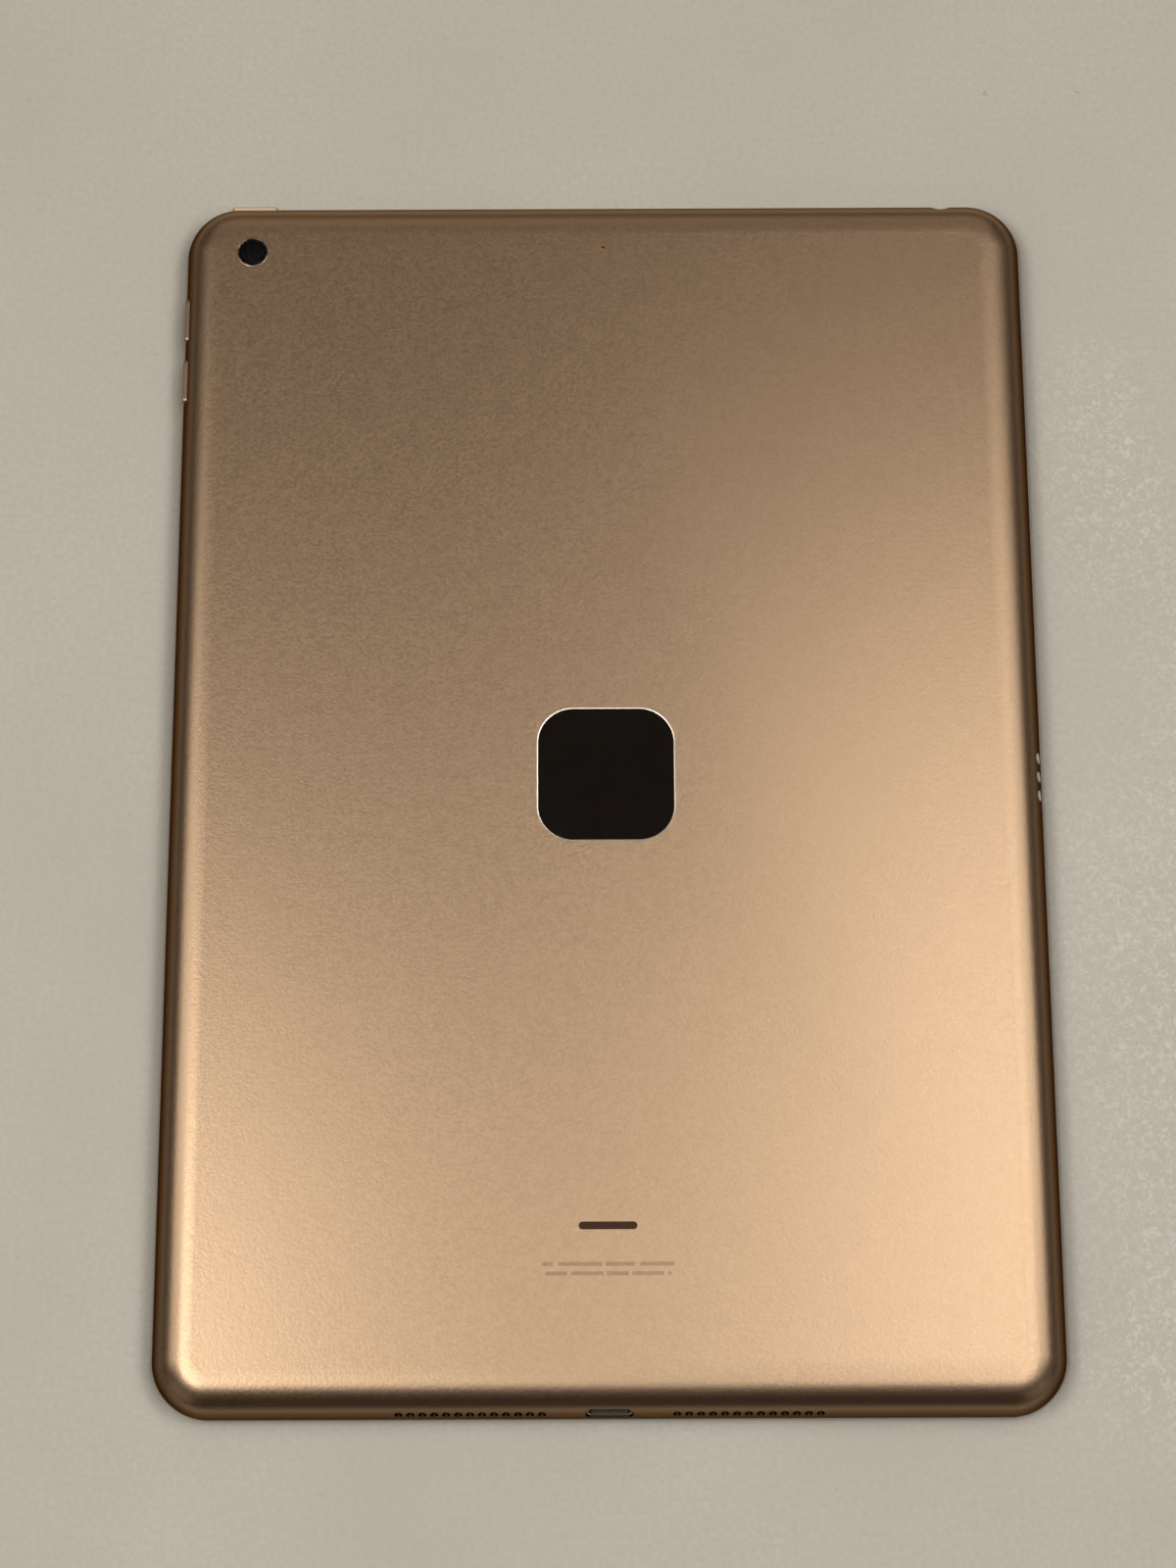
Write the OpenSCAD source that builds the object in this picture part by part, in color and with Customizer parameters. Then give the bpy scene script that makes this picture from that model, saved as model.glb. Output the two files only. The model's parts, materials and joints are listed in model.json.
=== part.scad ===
// Tablet computer, lying face down with its metal back up.
// The cover glass rests on z = 0 and the back is at z = body_h.
// +Y is the edge with the power button and the headphone socket,
// -Y the edge with the charge port and speakers, +X the edge with the accessory contacts.
// The origin is the middle of the glass face. Millimetres.

/* [Body] */
// Width across the short side
body_w = 174.1; // [174:0.1:178]
// Length along the long side
body_l = 250.6; // [250:0.1:254]
// Thickness from the glass face to the back
body_h = 7.5; // [7.5:0.1:7.7]
// Corner radius seen from the back
corner_r = 11; // [10.5:0.5:12]
// Radius of the rounded edge round the back
edge_r = 6.5; // [6.3:0.1:6.5]
// Height of the housing's front lip above the glass face
lip_z = 0.2; // [0.15:0.05:0.25]
// Chamfer along the front lip
lip_chamfer = 0.35; // [0.2:0.05:0.4]
// Width of the lip round the glass
lip_w = 1.15; // [1.1:0.05:1.2]
// Distance from the outline to the cavity's side wall
side_wall = 3.6; // [3.5:0.1:3.7]
// Thickness of the back wall
back_wall = 1.05; // [1:0.05:1.1]

/* [Screen] */
// Thickness of the cover glass
glass_t = 0.9; // [0.7:0.1:0.9]
// Distance from the outline to the glass edge
glass_inset = 1.6; // [1.6:0.05:1.7]
// Width of the visible screen
view_w = 155.9; // [150:0.1:158]
// Length of the visible screen
view_l = 207.8; // [200:0.1:209]
// Width of the display panel
panel_w = 161; // [160:0.5:161]
// Length of the display panel
panel_l = 213.2; // [210:0.1:213.2]

/* [Back mark] */
// Side of the plain square inlay in the back
inlay_side = 27; // [20:0.5:32]
// Corner radius of the inlay
inlay_r = 7; // [3:0.5:9]
// Depth of the inlay's pocket
inlay_depth = 0.35; // [0.2:0.05:0.5]

/* [Buttons] */
// Length of an edge button
button_len = 9.9; // [9:0.1:10.5]
// Height of an edge button
button_tall = 2.1; // [1.8:0.1:2.3]
// Height of the button centres above the glass face
button_z = 3.35; // [3.2:0.05:3.5]
// Gap round a button in its slot
button_gap = 0.15; // [0.12:0.01:0.2]
// How far a button travels when pressed
button_travel = 0.3; // [0.2:0.05:0.3]
// Power button's centre along the top edge
power_x = -73; // [-74:0.1:-60]
// Volume up button's centre along the left edge
volume_up_y = 99.45; // [98.8:0.05:101]
// Volume down button's centre along the left edge
volume_down_y = 85.85; // [84:0.05:86.4]

/* [Rear camera] */
// Rear camera's centre, across
camera_x = -72.9; // [-73.5:0.1:-72]
// Rear camera's centre, along
camera_y = 113.45; // [113:0.05:114]
// Radius of the rear camera's cover window
window_r = 2.9; // [2.6:0.05:2.9]
// How far the lens moves out to focus
focus_travel = 0.25; // [0.1:0.05:0.3]
// Rear microphone hole's centre, along
mic_y = 114; // [112:0.5:115]

/* [Sockets] */
// Height of the headphone socket, charge port, speakers and contacts
socket_z = 3.65; // [3.6:0.05:3.7]
// Headphone socket's centre along the top edge
jack_x = 72.8; // [72:0.1:73]
// Bore radius of the headphone socket, for a 3.5 mm plug
jack_bore_r = 1.85; // [1.8:0.05:1.85]
// Radius of the socket's hole in the housing
jack_mouth_r = 2; // [1.95:0.05:2.1]
// Width of the charge port's opening
port_w = 9.1; // [8.8:0.1:9.2]
// Height of the charge port's opening
port_tall = 2.8; // [2.7:0.1:2.8]
// Number of holes in front of each speaker
speaker_holes = 13; // [8:1:13]
// Radius of a speaker hole
speaker_hole_r = 0.78; // [0.6:0.02:0.8]
// Distance between speaker holes
speaker_pitch = 2.257; // [2.2:0.001:2.26]
// First speaker hole's distance from the middle
speaker_start = 12.76; // [12.7:0.02:12.9]
// Distance between the accessory contacts
contact_pitch = 3.87; // [3.8:0.01:4]
// Radius of an accessory contact
contact_r = 1.1; // [0.9:0.05:1.1]

/* [Home button] */
// Outer radius of the home button's ring
home_r = 5.45; // [5.2:0.05:5.5]
// Home button's distance from the bottom edge
home_inset = 10.9; // [10.8:0.1:11]
// How far the home button travels when pressed
home_travel = 0.3; // [0.2:0.05:0.3]

/* [Hidden] */
$fn = 64;

// Gap that keeps neighbouring pieces of one assembly from touching
slip = 0.05;
// Distance that a cutter runs past the face it opens
past = 1;
// Thickness of a printed or flexible cable
cable_t = 0.15;

// Heights of the layers, from the glass up to the back
inner_z = body_h - back_wall;
round_z = body_h - edge_r;
border_t = 0.1;
border_z = glass_t + border_t;
ledge_z = border_z + 0.15;
panel_z = border_z + 0.2;
panel_t = 1.9;
tray_t = 0.25;
tray_z = panel_z + panel_t + slip;
tray_top = tray_z + tray_t;
battery_z = tray_top + 0.3;
battery_t = 2.55;
board_t = 0.7;
board_z = inner_z - 0.55 - board_t;
cavity_edge_r = 2;

// Edges of the outline and of the cavity
edge_x = body_w / 2;
edge_y = body_l / 2;
cavity_x = edge_x - side_wall;
cavity_y = edge_y - side_wall;

// Edge buttons: depths are measured inwards from the outline
flange_depth = 2.75;
flange_t = 0.55;
flange_len = 12;
flange_tall = 3;
switch_depth = flange_depth + flange_t + button_travel + slip;
switch_t = 0.9;
cable_depth = switch_depth + switch_t;
bracket_depth = cable_depth + cable_t;
bracket_t = 0.5;
crown_r = 4;
pocket_clear = 0.3;

// Display tray and its screw ears
tray_wall = 0.4;
tray_w = panel_w + 2 * tray_wall + 2 * slip;
tray_l = panel_l + 2 * tray_wall + 2 * slip;
ear_w = 4.4;
ear_l = 4;
ear_x = 60;
ear_y = tray_l / 2 + 2;

// Batteries and logic board, side by side under the display
battery_l = 196;
left_battery_x = [-80, -17.2];
right_battery_x = [-15.8, 47];
board_x = [49.5, 80.6];
board_y = [-70, 102];
board_hole_inset = 2;

// Home button
home_y = -edge_y + home_inset;
home_cap_r = home_r - 0.35;
home_hole_r = home_r + 0.15;
home_face_z = 0.15;
home_carrier_z = border_z + 0.25;
home_carrier_t = 0.35;
home_switch_z = home_carrier_z + home_carrier_t + home_travel + slip;
home_switch_t = 0.75;
home_strap_t = 0.3;
home_strap_x = 9.6;
home_strap_y = [home_y - 2.2, home_y + 2.2];

// Shallow dish in the home button's face
dish_depth = 0.1;
dish_r = (home_cap_r * home_cap_r + dish_depth * dish_depth) / (2 * dish_depth);

// Front camera, above the screen
front_camera_y = edge_y - 10.5;

// Rear camera
ring_r = window_r + 0.4;
camera_side = 8.6;
camera_z = 3.2;
camera_bore_r = 2.75;
lens_r = 2.4;
lens_t = 2;
lens_z = camera_z + 1.1;
camera_bracket_z = 2.3;
camera_bracket_t = 0.3;

// Headphone socket
jack_w = 6.8;
jack_tall = 4.7;
jack_front_y = cavity_y - 0.1;
jack_bore_l = 11;
jack_back_y = jack_front_y - jack_bore_l - 0.4;
jack_tab_z = 5.2;
jack_tab_t = 0.7;
jack_tab_x = jack_x - jack_w / 2 - 2.2;
jack_tab_y = 116;

// Holes in the housing round the accessory contacts
contact_hole_r = contact_r + 0.3;

// Charge port
port_shell_w = 9.5;
port_shell_tall = 2.6;
port_cavity_w = 7.4;
port_cavity_tall = 1.7;
port_front_y = -cavity_y + 0.1;
port_back_y = -edge_y + 8.5;
port_pins = 8;
port_pin_pitch = 0.8;
port_board_z = 5;
port_board_t = 0.5;
port_post = [8, -edge_y + 13.8];

// Speakers
speaker_x = [11.5, 49.5];
speaker_y = [-edge_y + 4.7, -edge_y + 16.8];
speaker_z = [1.5, 6.1];
speaker_wall = 0.8;
speaker_tab = [51.6, -edge_y + 10.3];
speaker_tab_z = 5.4;
speaker_tab_t = 0.6;
diaphragm_c = [34, -edge_y + 10.4];
diaphragm_size = [21.4, 7.4, 0.3];
diaphragm_z = 3.05;
speaker_deck_z = 2.9;
speaker_deck_t = 0.6;

// Screws that enter the back wall: [x, y, plate's lower face, plate's upper face]
screw_shank_r = 0.6;
screw_hole_r = 0.75;
screw_thread_r = 0.65;
screw_head_r = 1.15;
screw_head_t = 0.5;
post_r = 1.5;
screw_end_z = inner_z + 0.35;
display_posts = [for (x = [-1, 1], y = [-1, 1]) [x * ear_x, y * ear_y, tray_z, tray_top]];
board_posts = [
    for (x = [board_x[0] + board_hole_inset, board_x[1] - board_hole_inset],
         y = [board_y[0] + board_hole_inset, board_y[1] - board_hole_inset])
    [x, y, board_z, board_z + board_t]
];
camera_posts = [
    for (y = [-2.5, 2.5])
    [camera_x + 7.6, camera_y + y, camera_bracket_z, camera_bracket_z + camera_bracket_t]
];
port_posts = [
    for (x = [-1, 1])
    [x * port_post[0], port_post[1], port_board_z, port_board_z + port_board_t]
];
speaker_posts = [
    for (x = [-1, 1])
    [x * speaker_tab[0], speaker_tab[1], speaker_tab_z, speaker_tab_z + speaker_tab_t]
];
jack_posts = [[jack_tab_x, jack_tab_y, jack_tab_z, jack_tab_z + jack_tab_t]];
other_posts = concat(board_posts, camera_posts, port_posts, speaker_posts, jack_posts);

// Screws of the button brackets, which enter the side wall. The volume bracket's sit higher,
// so that the button cable passes below them
power_screw_x = power_x + 8;
volume_screws = [volume_down_y - 8.4, volume_up_y + 8.4];
volume_screw_z = button_z + 1.75;
wall_post_r = 0.95;

// ---- shared shapes ----

// Rectangle with round corners
module rounded_rectangle(w, l, r) {
    square([w - 2 * r, l], center = true);
    square([w, l - 2 * r], center = true);
    for (x = [-1, 1], y = [-1, 1])
        translate([x * (w / 2 - r), y * (l / 2 - r)]) circle(r);
}

// Flat plate with round corners between two heights
module rounded_plate(w, l, r, low_z, high_z) {
    translate([0, 0, low_z]) linear_extrude(high_z - low_z) rounded_rectangle(w, l, r);
}

// Flat frame with round corners, its hole inset on every side
module rounded_frame(w, l, r, inset, low_z, high_z) {
    difference() {
        rounded_plate(w, l, r, low_z, high_z);
        rounded_plate(w - 2 * inset, l - 2 * inset, r - inset, low_z - past, high_z + past);
    }
}

// Slot shape with round ends
module pill(length, height) {
    square([length - height, height], center = true);
    for (x = [-1, 1])
        translate([x * (length - height) / 2, 0]) circle(height / 2);
}

// Box between two corners
module block(low, high) {
    translate(low) cube(high - low);
}

// Half section of a block's edge, from the corner's centre outwards
module edge_section(corner, low_z, high_z, edge, chamfer) {
    foot = chamfer > 0
        ? [[corner - chamfer, low_z], [corner, low_z + chamfer]]
        : [[corner, low_z]];
    crown = [[corner, high_z - edge], [corner - edge, high_z], [0, high_z]];
    polygon(concat([[0, low_z]], foot, crown));
    translate([corner - edge, high_z - edge]) intersection() {
        circle(edge);
        square(edge);
    }
}

// Block with round corners, a rounded upper edge and a chamfered lower edge
module soft_block(w, l, corner, low_z, high_z, edge, chamfer) {
    x = w / 2 - corner;
    y = l / 2 - corner;
    block([-x, -y, low_z], [x, y, high_z]);
    for (turn = [0, 180]) rotate([0, 0, turn]) {
        translate([x, y, 0]) rotate([90, 0, 0]) linear_extrude(2 * y)
            edge_section(corner, low_z, high_z, edge, chamfer);
        rotate([0, 0, 90]) translate([y, x, 0]) rotate([90, 0, 0]) linear_extrude(2 * x)
            edge_section(corner, low_z, high_z, edge, chamfer);
        translate([x, y, 0]) rotate_extrude(angle = 90)
            edge_section(corner, low_z, high_z, edge, chamfer);
        translate([-x, y, 0]) rotate([0, 0, 90]) rotate_extrude(angle = 90)
            edge_section(corner, low_z, high_z, edge, chamfer);
    }
}

// Puts children on the top edge: +X along it, -Y inwards
module on_top_edge(x) {
    translate([x, edge_y, 0]) children();
}

// Puts children on the left edge: +X along it, -Y inwards
module on_left_edge(y) {
    translate([-edge_x, y, 0]) rotate([0, 0, 90]) children();
}

// Bar of a given outline that runs inwards from one depth to another
module inward(from_depth, to_depth, z) {
    translate([0, -from_depth, z]) rotate([90, 0, 0])
        linear_extrude(to_depth - from_depth) children();
}

// Round wall of the back edge along X, made smaller by recess, to trim a flush face
module bottom_edge_round(recess) {
    translate([0, -edge_y + edge_r, round_z]) rotate([0, 90, 0])
        cylinder(r = edge_r - recess, h = body_w, center = true);
}

// Round wall of the right edge along Y, made smaller by recess
module right_edge_round(recess) {
    translate([edge_x - edge_r, 0, round_z]) rotate([90, 0, 0])
        cylinder(r = edge_r - recess, h = 4 * contact_pitch, center = true);
}

// Screw that clamps a plate to a post on the back wall, with a cross recess
module post_screw(place) {
    translate([place[0], place[1], 0]) difference() {
        union() {
            translate([0, 0, place[2] - screw_head_t]) cylinder(r = screw_head_r, h = screw_head_t);
            translate([0, 0, place[2] - screw_head_t / 2])
                cylinder(r = screw_shank_r, h = screw_end_z - place[2]);
        }
        for (turn = [0, 90])
            translate([0, 0, place[2] - screw_head_t]) rotate([0, 0, turn])
                cube([1.4, 0.3, 0.5], center = true);
    }
}

// Round bar on a button bracket's screw axes, from one depth to another
module on_bracket_screws(from_depth, to_depth, r, power = true, volume = true) {
    if (power)
        on_top_edge(power_screw_x) inward(from_depth, to_depth, button_z) circle(r);
    if (volume)
        for (y = volume_screws)
            on_left_edge(y) inward(from_depth, to_depth, volume_screw_z) circle(r);
}

module post_holes(places) {
    for (place = places)
        translate([place[0], place[1], place[2] - past])
            cylinder(r = screw_hole_r, h = place[3] - place[2] + 2 * past);
}

// ---- housing ----

module button_cut() {
    inward(-past, flange_depth, button_z)
        pill(button_len + 2 * button_gap, button_tall + 2 * button_gap);
    inward(flange_depth - 0.1, bracket_depth + bracket_t, button_z)
        square([flange_len + 2 * pocket_clear, flange_tall + 2 * pocket_clear], center = true);
}

// Square pocket that takes the headphone socket's upper front edge
module jack_seat() {
    half = jack_w / 2 + 0.25;
    block(
        [jack_x - half, cavity_y - 3, ledge_z],
        [jack_x + half, cavity_y + 0.1, socket_z + jack_tall / 2 + 0.15]
    );
}

module speaker_drillings() {
    for (side = [-1, 1], i = [0:speaker_holes - 1])
        translate([side * (speaker_start + i * speaker_pitch), -edge_y - past, socket_z])
            rotate([-90, 0, 0]) cylinder(r = speaker_hole_r, h = side_wall + 2 * past, $fn = 24);
}

module housing_shell() {
    difference() {
        soft_block(body_w, body_l, corner_r, lip_z, body_h, edge_r, lip_chamfer);
        rounded_plate(body_w - 2 * lip_w, body_l - 2 * lip_w, corner_r - lip_w, -past, ledge_z);
        soft_block(
            2 * cavity_x, 2 * cavity_y, corner_r - side_wall, 0, inner_z, cavity_edge_r, 0
        );
    }
}

module housing_posts() {
    for (place = concat(display_posts, other_posts))
        translate([place[0], place[1], place[3]])
            cylinder(r = post_r, h = inner_z - place[3] + 0.2);
    on_bracket_screws(side_wall - 0.2, bracket_depth, wall_post_r);
}

module housing_threads() {
    for (place = concat(display_posts, other_posts))
        translate([place[0], place[1], place[3] - slip])
            cylinder(r = screw_thread_r, h = screw_end_z + 0.1 - place[3]);
    on_bracket_screws(side_wall - 1, bracket_depth + slip, screw_thread_r);
}

module rear_housing() {
    color("#dab690") difference() {
        union() {
            housing_shell();
            housing_posts();
        }
        housing_threads();
        translate([camera_x, camera_y, inner_z - past])
            cylinder(r = ring_r + slip, h = back_wall + 2 * past);
        translate([0, mic_y, inner_z - past]) cylinder(r = 0.4, h = back_wall + 2 * past, $fn = 24);
        rounded_plate(inlay_side, inlay_side, inlay_r, body_h - inlay_depth, body_h + past);
        jack_seat();
        on_top_edge(power_x) button_cut();
        on_left_edge(volume_up_y) button_cut();
        on_left_edge(volume_down_y) button_cut();
        on_top_edge(jack_x) inward(-past, side_wall + past, socket_z) circle(jack_mouth_r);
        translate([0, -edge_y + side_wall + past, 0])
            inward(0, side_wall + 2 * past, socket_z) pill(port_w, port_tall);
        speaker_drillings();
        for (i = [-1:1])
            translate([cavity_x - past, i * contact_pitch, socket_z])
                rotate([0, 90, 0]) cylinder(r = contact_hole_r, h = side_wall + 2 * past);
    }
}

module back_inlay() {
    color("#1c1814")
        rounded_plate(
            inlay_side - 2 * slip, inlay_side - 2 * slip, inlay_r - slip,
            body_h - inlay_depth, body_h - slip
        );
}

// ---- rear camera ----

module rear_camera_ring() {
    section = [
        [window_r + slip, inner_z + 0.1], [ring_r, inner_z + 0.1], [ring_r, body_h - 0.04],
        [window_r + 0.22, body_h - 0.04], [window_r + slip, body_h - 0.18]
    ];
    color("#b59a7c") translate([camera_x, camera_y, 0]) rotate_extrude() polygon(section);
}

module rear_camera_window() {
    color("#101314") translate([camera_x, camera_y, inner_z + 0.35])
        cylinder(r = window_r, h = 0.55);
}

module rear_camera_module() {
    half = camera_side / 2;
    color("#24262a") translate([camera_x, camera_y, 0]) difference() {
        block([-half, -half, camera_z], [half, half, inner_z - slip]);
        translate([0, 0, lens_z - 0.3]) cylinder(r = camera_bore_r, h = inner_z);
    }
}

module rear_camera_lens() {
    color("#15171a") translate([camera_x, camera_y, lens_z]) difference() {
        cylinder(r = lens_r, h = lens_t);
        translate([0, 0, lens_t - 0.5]) cylinder(r1 = 0.9, r2 = 1.6, h = 0.5 + slip);
    }
}

module rear_camera_sensor() {
    half = camera_side / 2 - 0.2;
    color("#2f5f3a") translate([camera_x, camera_y, 0])
        block([-half, -half, camera_z - 0.4], [half, half, camera_z]);
}

module rear_camera_bracket() {
    low = [camera_x - 5, camera_y - 4, camera_bracket_z];
    high = [camera_x + 9.3, camera_y + 4, camera_bracket_z + camera_bracket_t];
    color("silver") difference() {
        block(low, high);
        post_holes(camera_posts);
    }
}

module rear_microphone() {
    color("#c9b27a") difference() {
        translate([0, mic_y, inner_z - 0.6]) cube([3.5, 2.6, 1], center = true);
        translate([0, mic_y, inner_z - 0.4]) cylinder(r = 0.4, h = past, $fn = 24);
    }
}

// ---- edge buttons ----

module button_cap() {
    intersection() {
        inward(0, flange_depth + slip, button_z) pill(button_len, button_tall);
        translate([0, -crown_r, button_z]) rotate([0, 90, 0])
            cylinder(r = crown_r, h = body_w / 4, center = true);
    }
    inward(flange_depth, flange_depth + flange_t, button_z)
        square([flange_len, flange_tall], center = true);
}

module power_button() {
    color("#e6cba8") on_top_edge(power_x) button_cap();
}

module volume_up_button() {
    color("#e6cba8") on_left_edge(volume_up_y) button_cap();
}

module volume_down_button() {
    color("#e6cba8") on_left_edge(volume_down_y) button_cap();
}

module power_button_bracket() {
    color("silver") difference() {
        on_top_edge(power_x) inward(bracket_depth, bracket_depth + bracket_t, button_z)
            translate([-3, -1.5]) square([12.6, 3]);
        on_bracket_screws(
            bracket_depth - past, bracket_depth + bracket_t + past, screw_hole_r,
            volume = false
        );
    }
}

module volume_button_bracket() {
    middle = (volume_screws[0] + volume_screws[1]) / 2;
    length = volume_screws[1] - volume_screws[0] + 3.2;
    tab = 3.2;
    color("silver") difference() {
        union() {
            on_left_edge(middle) inward(bracket_depth, bracket_depth + bracket_t, button_z)
                square([length, 3], center = true);
            for (y = volume_screws)
                on_left_edge(y) inward(bracket_depth, bracket_depth + bracket_t, button_z)
                    translate([-tab / 2, -1])
                        square([tab, volume_screw_z - button_z + 1 + wall_post_r]);
        }
        on_bracket_screws(
            bracket_depth - past, bracket_depth + bracket_t + past, screw_hole_r,
            power = false
        );
    }
}

// Dome switch behind one button
module button_switch() {
    inward(switch_depth, switch_depth + 0.3, button_z) circle(0.8);
    inward(switch_depth + 0.3, switch_depth + switch_t, button_z)
        square([4, 2.4], center = true);
}

module button_switches() {
    color("#d8d8d4") {
        on_top_edge(power_x) button_switch();
        on_left_edge(volume_up_y) button_switch();
        on_left_edge(volume_down_y) button_switch();
    }
}

// Flat cable that runs behind the volume switches, round the corner and behind the power switch
module button_cable() {
    cable_tall = 1.5;
    bend_x = -edge_x + corner_r;
    bend_y = edge_y - corner_r;
    bend_r = corner_r - cable_depth;
    low_z = button_z - cable_tall / 2;
    high_z = button_z + cable_tall / 2;
    first_y = volume_down_y - 5;
    last_x = power_x + 4.5;
    color("#c47a2c") {
        block([bend_x - bend_r, first_y, low_z], [bend_x - bend_r + cable_t, bend_y, high_z]);
        block([bend_x, bend_y + bend_r - cable_t, low_z], [last_x, bend_y + bend_r, high_z]);
        translate([bend_x, bend_y, low_z]) rotate([0, 0, 90]) rotate_extrude(angle = 90)
            translate([bend_r - cable_t, 0]) square([cable_t, cable_tall]);
    }
}

// ---- sockets and contacts ----

module headphone_jack() {
    half = jack_w / 2;
    color("#3a3a3c") difference() {
        union() {
            block(
                [jack_x - half, jack_back_y, socket_z - jack_tall / 2],
                [jack_x + half, jack_front_y, socket_z + jack_tall / 2]
            );
            block(
                [jack_tab_x - 1.8, jack_tab_y - 1.8, jack_tab_z],
                [jack_x - half + slip, jack_tab_y + 1.8, jack_tab_z + jack_tab_t]
            );
        }
        translate([jack_x, jack_front_y - jack_bore_l, socket_z]) rotate([-90, 0, 0])
            cylinder(r = jack_bore_r, h = jack_bore_l + past);
        post_holes(jack_posts);
    }
}

module headphone_contacts() {
    x = jack_x + jack_w / 2;
    color("gold") for (i = [0:3])
        translate([x, jack_back_y + 1.2 + i * 2.6, socket_z - 1.2]) cube([0.25, 1, 2.6]);
}

module charge_port_bezel() {
    color("#34302c") intersection() {
        translate([0, -edge_y + side_wall - 0.1, 0]) difference() {
            inward(0, side_wall, socket_z) pill(port_w - 2 * slip, port_tall - 2 * slip);
            inward(-past, side_wall + past, socket_z)
                pill(port_cavity_w + 0.6, port_cavity_tall + 0.2);
        }
        bottom_edge_round(0.3);
    }
}

module charge_port_shell() {
    half_w = port_shell_w / 2;
    half_t = port_shell_tall / 2;
    color("#8c8c90") difference() {
        block(
            [-half_w, port_front_y, socket_z - half_t],
            [half_w, port_back_y, socket_z + half_t]
        );
        block(
            [-port_cavity_w / 2, port_front_y - past, socket_z - port_cavity_tall / 2],
            [port_cavity_w / 2, port_back_y - 0.4, socket_z + port_cavity_tall / 2]
        );
    }
}

module charge_port_contacts() {
    front_y = port_front_y - 1.9;
    low_z = socket_z - port_cavity_tall / 2;
    color("gold") for (i = [0:port_pins - 1])
        translate([(i - (port_pins - 1) / 2) * port_pin_pitch - 0.2, front_y, low_z])
            cube([0.4, 6, 0.18]);
}

module charge_port_board() {
    color("#2f5f3a") difference() {
        block(
            [-9.8, port_front_y + 0.7, port_board_z],
            [9.8, port_post[1] + 2, port_board_z + port_board_t]
        );
        post_holes(port_posts);
    }
}

module accessory_contacts() {
    color("#b9b9bb") intersection() {
        for (i = [-1:1])
            translate([cavity_x - 1.5, i * contact_pitch, socket_z])
                rotate([0, 90, 0]) cylinder(r = contact_r, h = side_wall + 1.5);
        right_edge_round(0.1);
    }
}

module accessory_contact_holder() {
    half_l = contact_pitch + 2.6;
    color("#2c2c2e") difference() {
        union() {
            block(
                [cavity_x - 1.5, -half_l, socket_z - 1.45],
                [cavity_x - 0.2, half_l, socket_z + 1.45]
            );
            intersection() {
                for (i = [-1:1])
                    translate([cavity_x - 0.5, i * contact_pitch, socket_z])
                        rotate([0, 90, 0]) cylinder(r = contact_hole_r - 0.12, h = side_wall + past);
                right_edge_round(0.05);
            }
        }
        for (i = [-1:1])
            translate([cavity_x - 2, i * contact_pitch, socket_z])
                rotate([0, 90, 0]) cylinder(r = contact_r + 0.03, h = side_wall + 3);
    }
}

// ---- speakers ----

// Speaker enclosure on the +X side: a closed box with a front slot, a deck with the
// diaphragm's opening, the magnet above it and a screw tab
module speaker_box() {
    low = [speaker_x[0], speaker_y[0], speaker_z[0]];
    high = [speaker_x[1], speaker_y[1], speaker_z[1]];
    inset = [speaker_wall, speaker_wall, speaker_wall];
    opening = [diaphragm_size[0] + 0.8, diaphragm_size[1] + 0.8];
    difference() {
        union() {
            difference() {
                block(low, high);
                block(low + inset, high - inset);
            }
            block([low[0] + 0.4, -cavity_y + 0.45, 2.2], [41.5, low[1] + slip, 4.6]);
            block(
                [low[0] + 0.4, low[1] + 0.4, speaker_deck_z],
                [high[0] - 0.4, high[1] - 0.4, speaker_deck_z + speaker_deck_t]
            );
            block(
                [diaphragm_c[0] - 7, diaphragm_c[1] - 3, 4.4],
                [diaphragm_c[0] + 7, diaphragm_c[1] + 3, high[2] - 0.4]
            );
            block(
                [high[0] - slip, speaker_tab[1] - 2, speaker_tab_z],
                [speaker_tab[0] + 2, speaker_tab[1] + 2, speaker_tab_z + speaker_tab_t]
            );
        }
        translate([diaphragm_c[0], diaphragm_c[1], speaker_deck_z + speaker_deck_t / 2])
            cube([opening[0], opening[1], 2 * speaker_deck_t], center = true);
        block([low[0] + 0.8, -cavity_y, 2.6], [41.1, low[1] + speaker_wall + slip, 4.2]);
        post_holes(speaker_posts);
    }
}

module speaker_diaphragm() {
    size = diaphragm_size;
    translate([diaphragm_c[0] - size[0] / 2, diaphragm_c[1] - size[1] / 2, diaphragm_z])
        cube(size);
}

module right_speaker_box() {
    color("#2e2e30") speaker_box();
}

module left_speaker_box() {
    color("#2e2e30") mirror([1, 0, 0]) speaker_box();
}

module right_speaker_diaphragm() {
    color("#8a8a8e") speaker_diaphragm();
}

module left_speaker_diaphragm() {
    color("#8a8a8e") mirror([1, 0, 0]) speaker_diaphragm();
}

module speaker_meshes() {
    low = [speaker_start - 1.2, -cavity_y + 0.1, socket_z - 1.15];
    high = [speaker_start + (speaker_holes - 1) * speaker_pitch + 1.2, -cavity_y + 0.4, socket_z + 1.15];
    color("#3c3c3e") {
        block(low, high);
        mirror([1, 0, 0]) block(low, high);
    }
}

// ---- battery and boards ----

module battery_cell(span) {
    translate([(span[0] + span[1]) / 2, 0, 0])
        rounded_plate(span[1] - span[0], battery_l, 2, battery_z, battery_z + battery_t);
}

module left_battery_cell() {
    color("#232326") battery_cell(left_battery_x);
}

module right_battery_cell() {
    color("#232326") battery_cell(right_battery_x);
}

module battery_controller() {
    color("#2f5f3a") block([-14, battery_l / 2 + 1.2, 4.6], [32, battery_l / 2 + 6, 5.8]);
}

module battery_adhesive() {
    low_z = battery_z + battery_t + 0.02;
    color("white") for (span = [left_battery_x, right_battery_x], part = [0.25, 0.75]) {
        x = span[0] + part * (span[1] - span[0]);
        block([x - 7, -80, low_z], [x + 7, 80, inner_z - 0.02]);
    }
}

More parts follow.
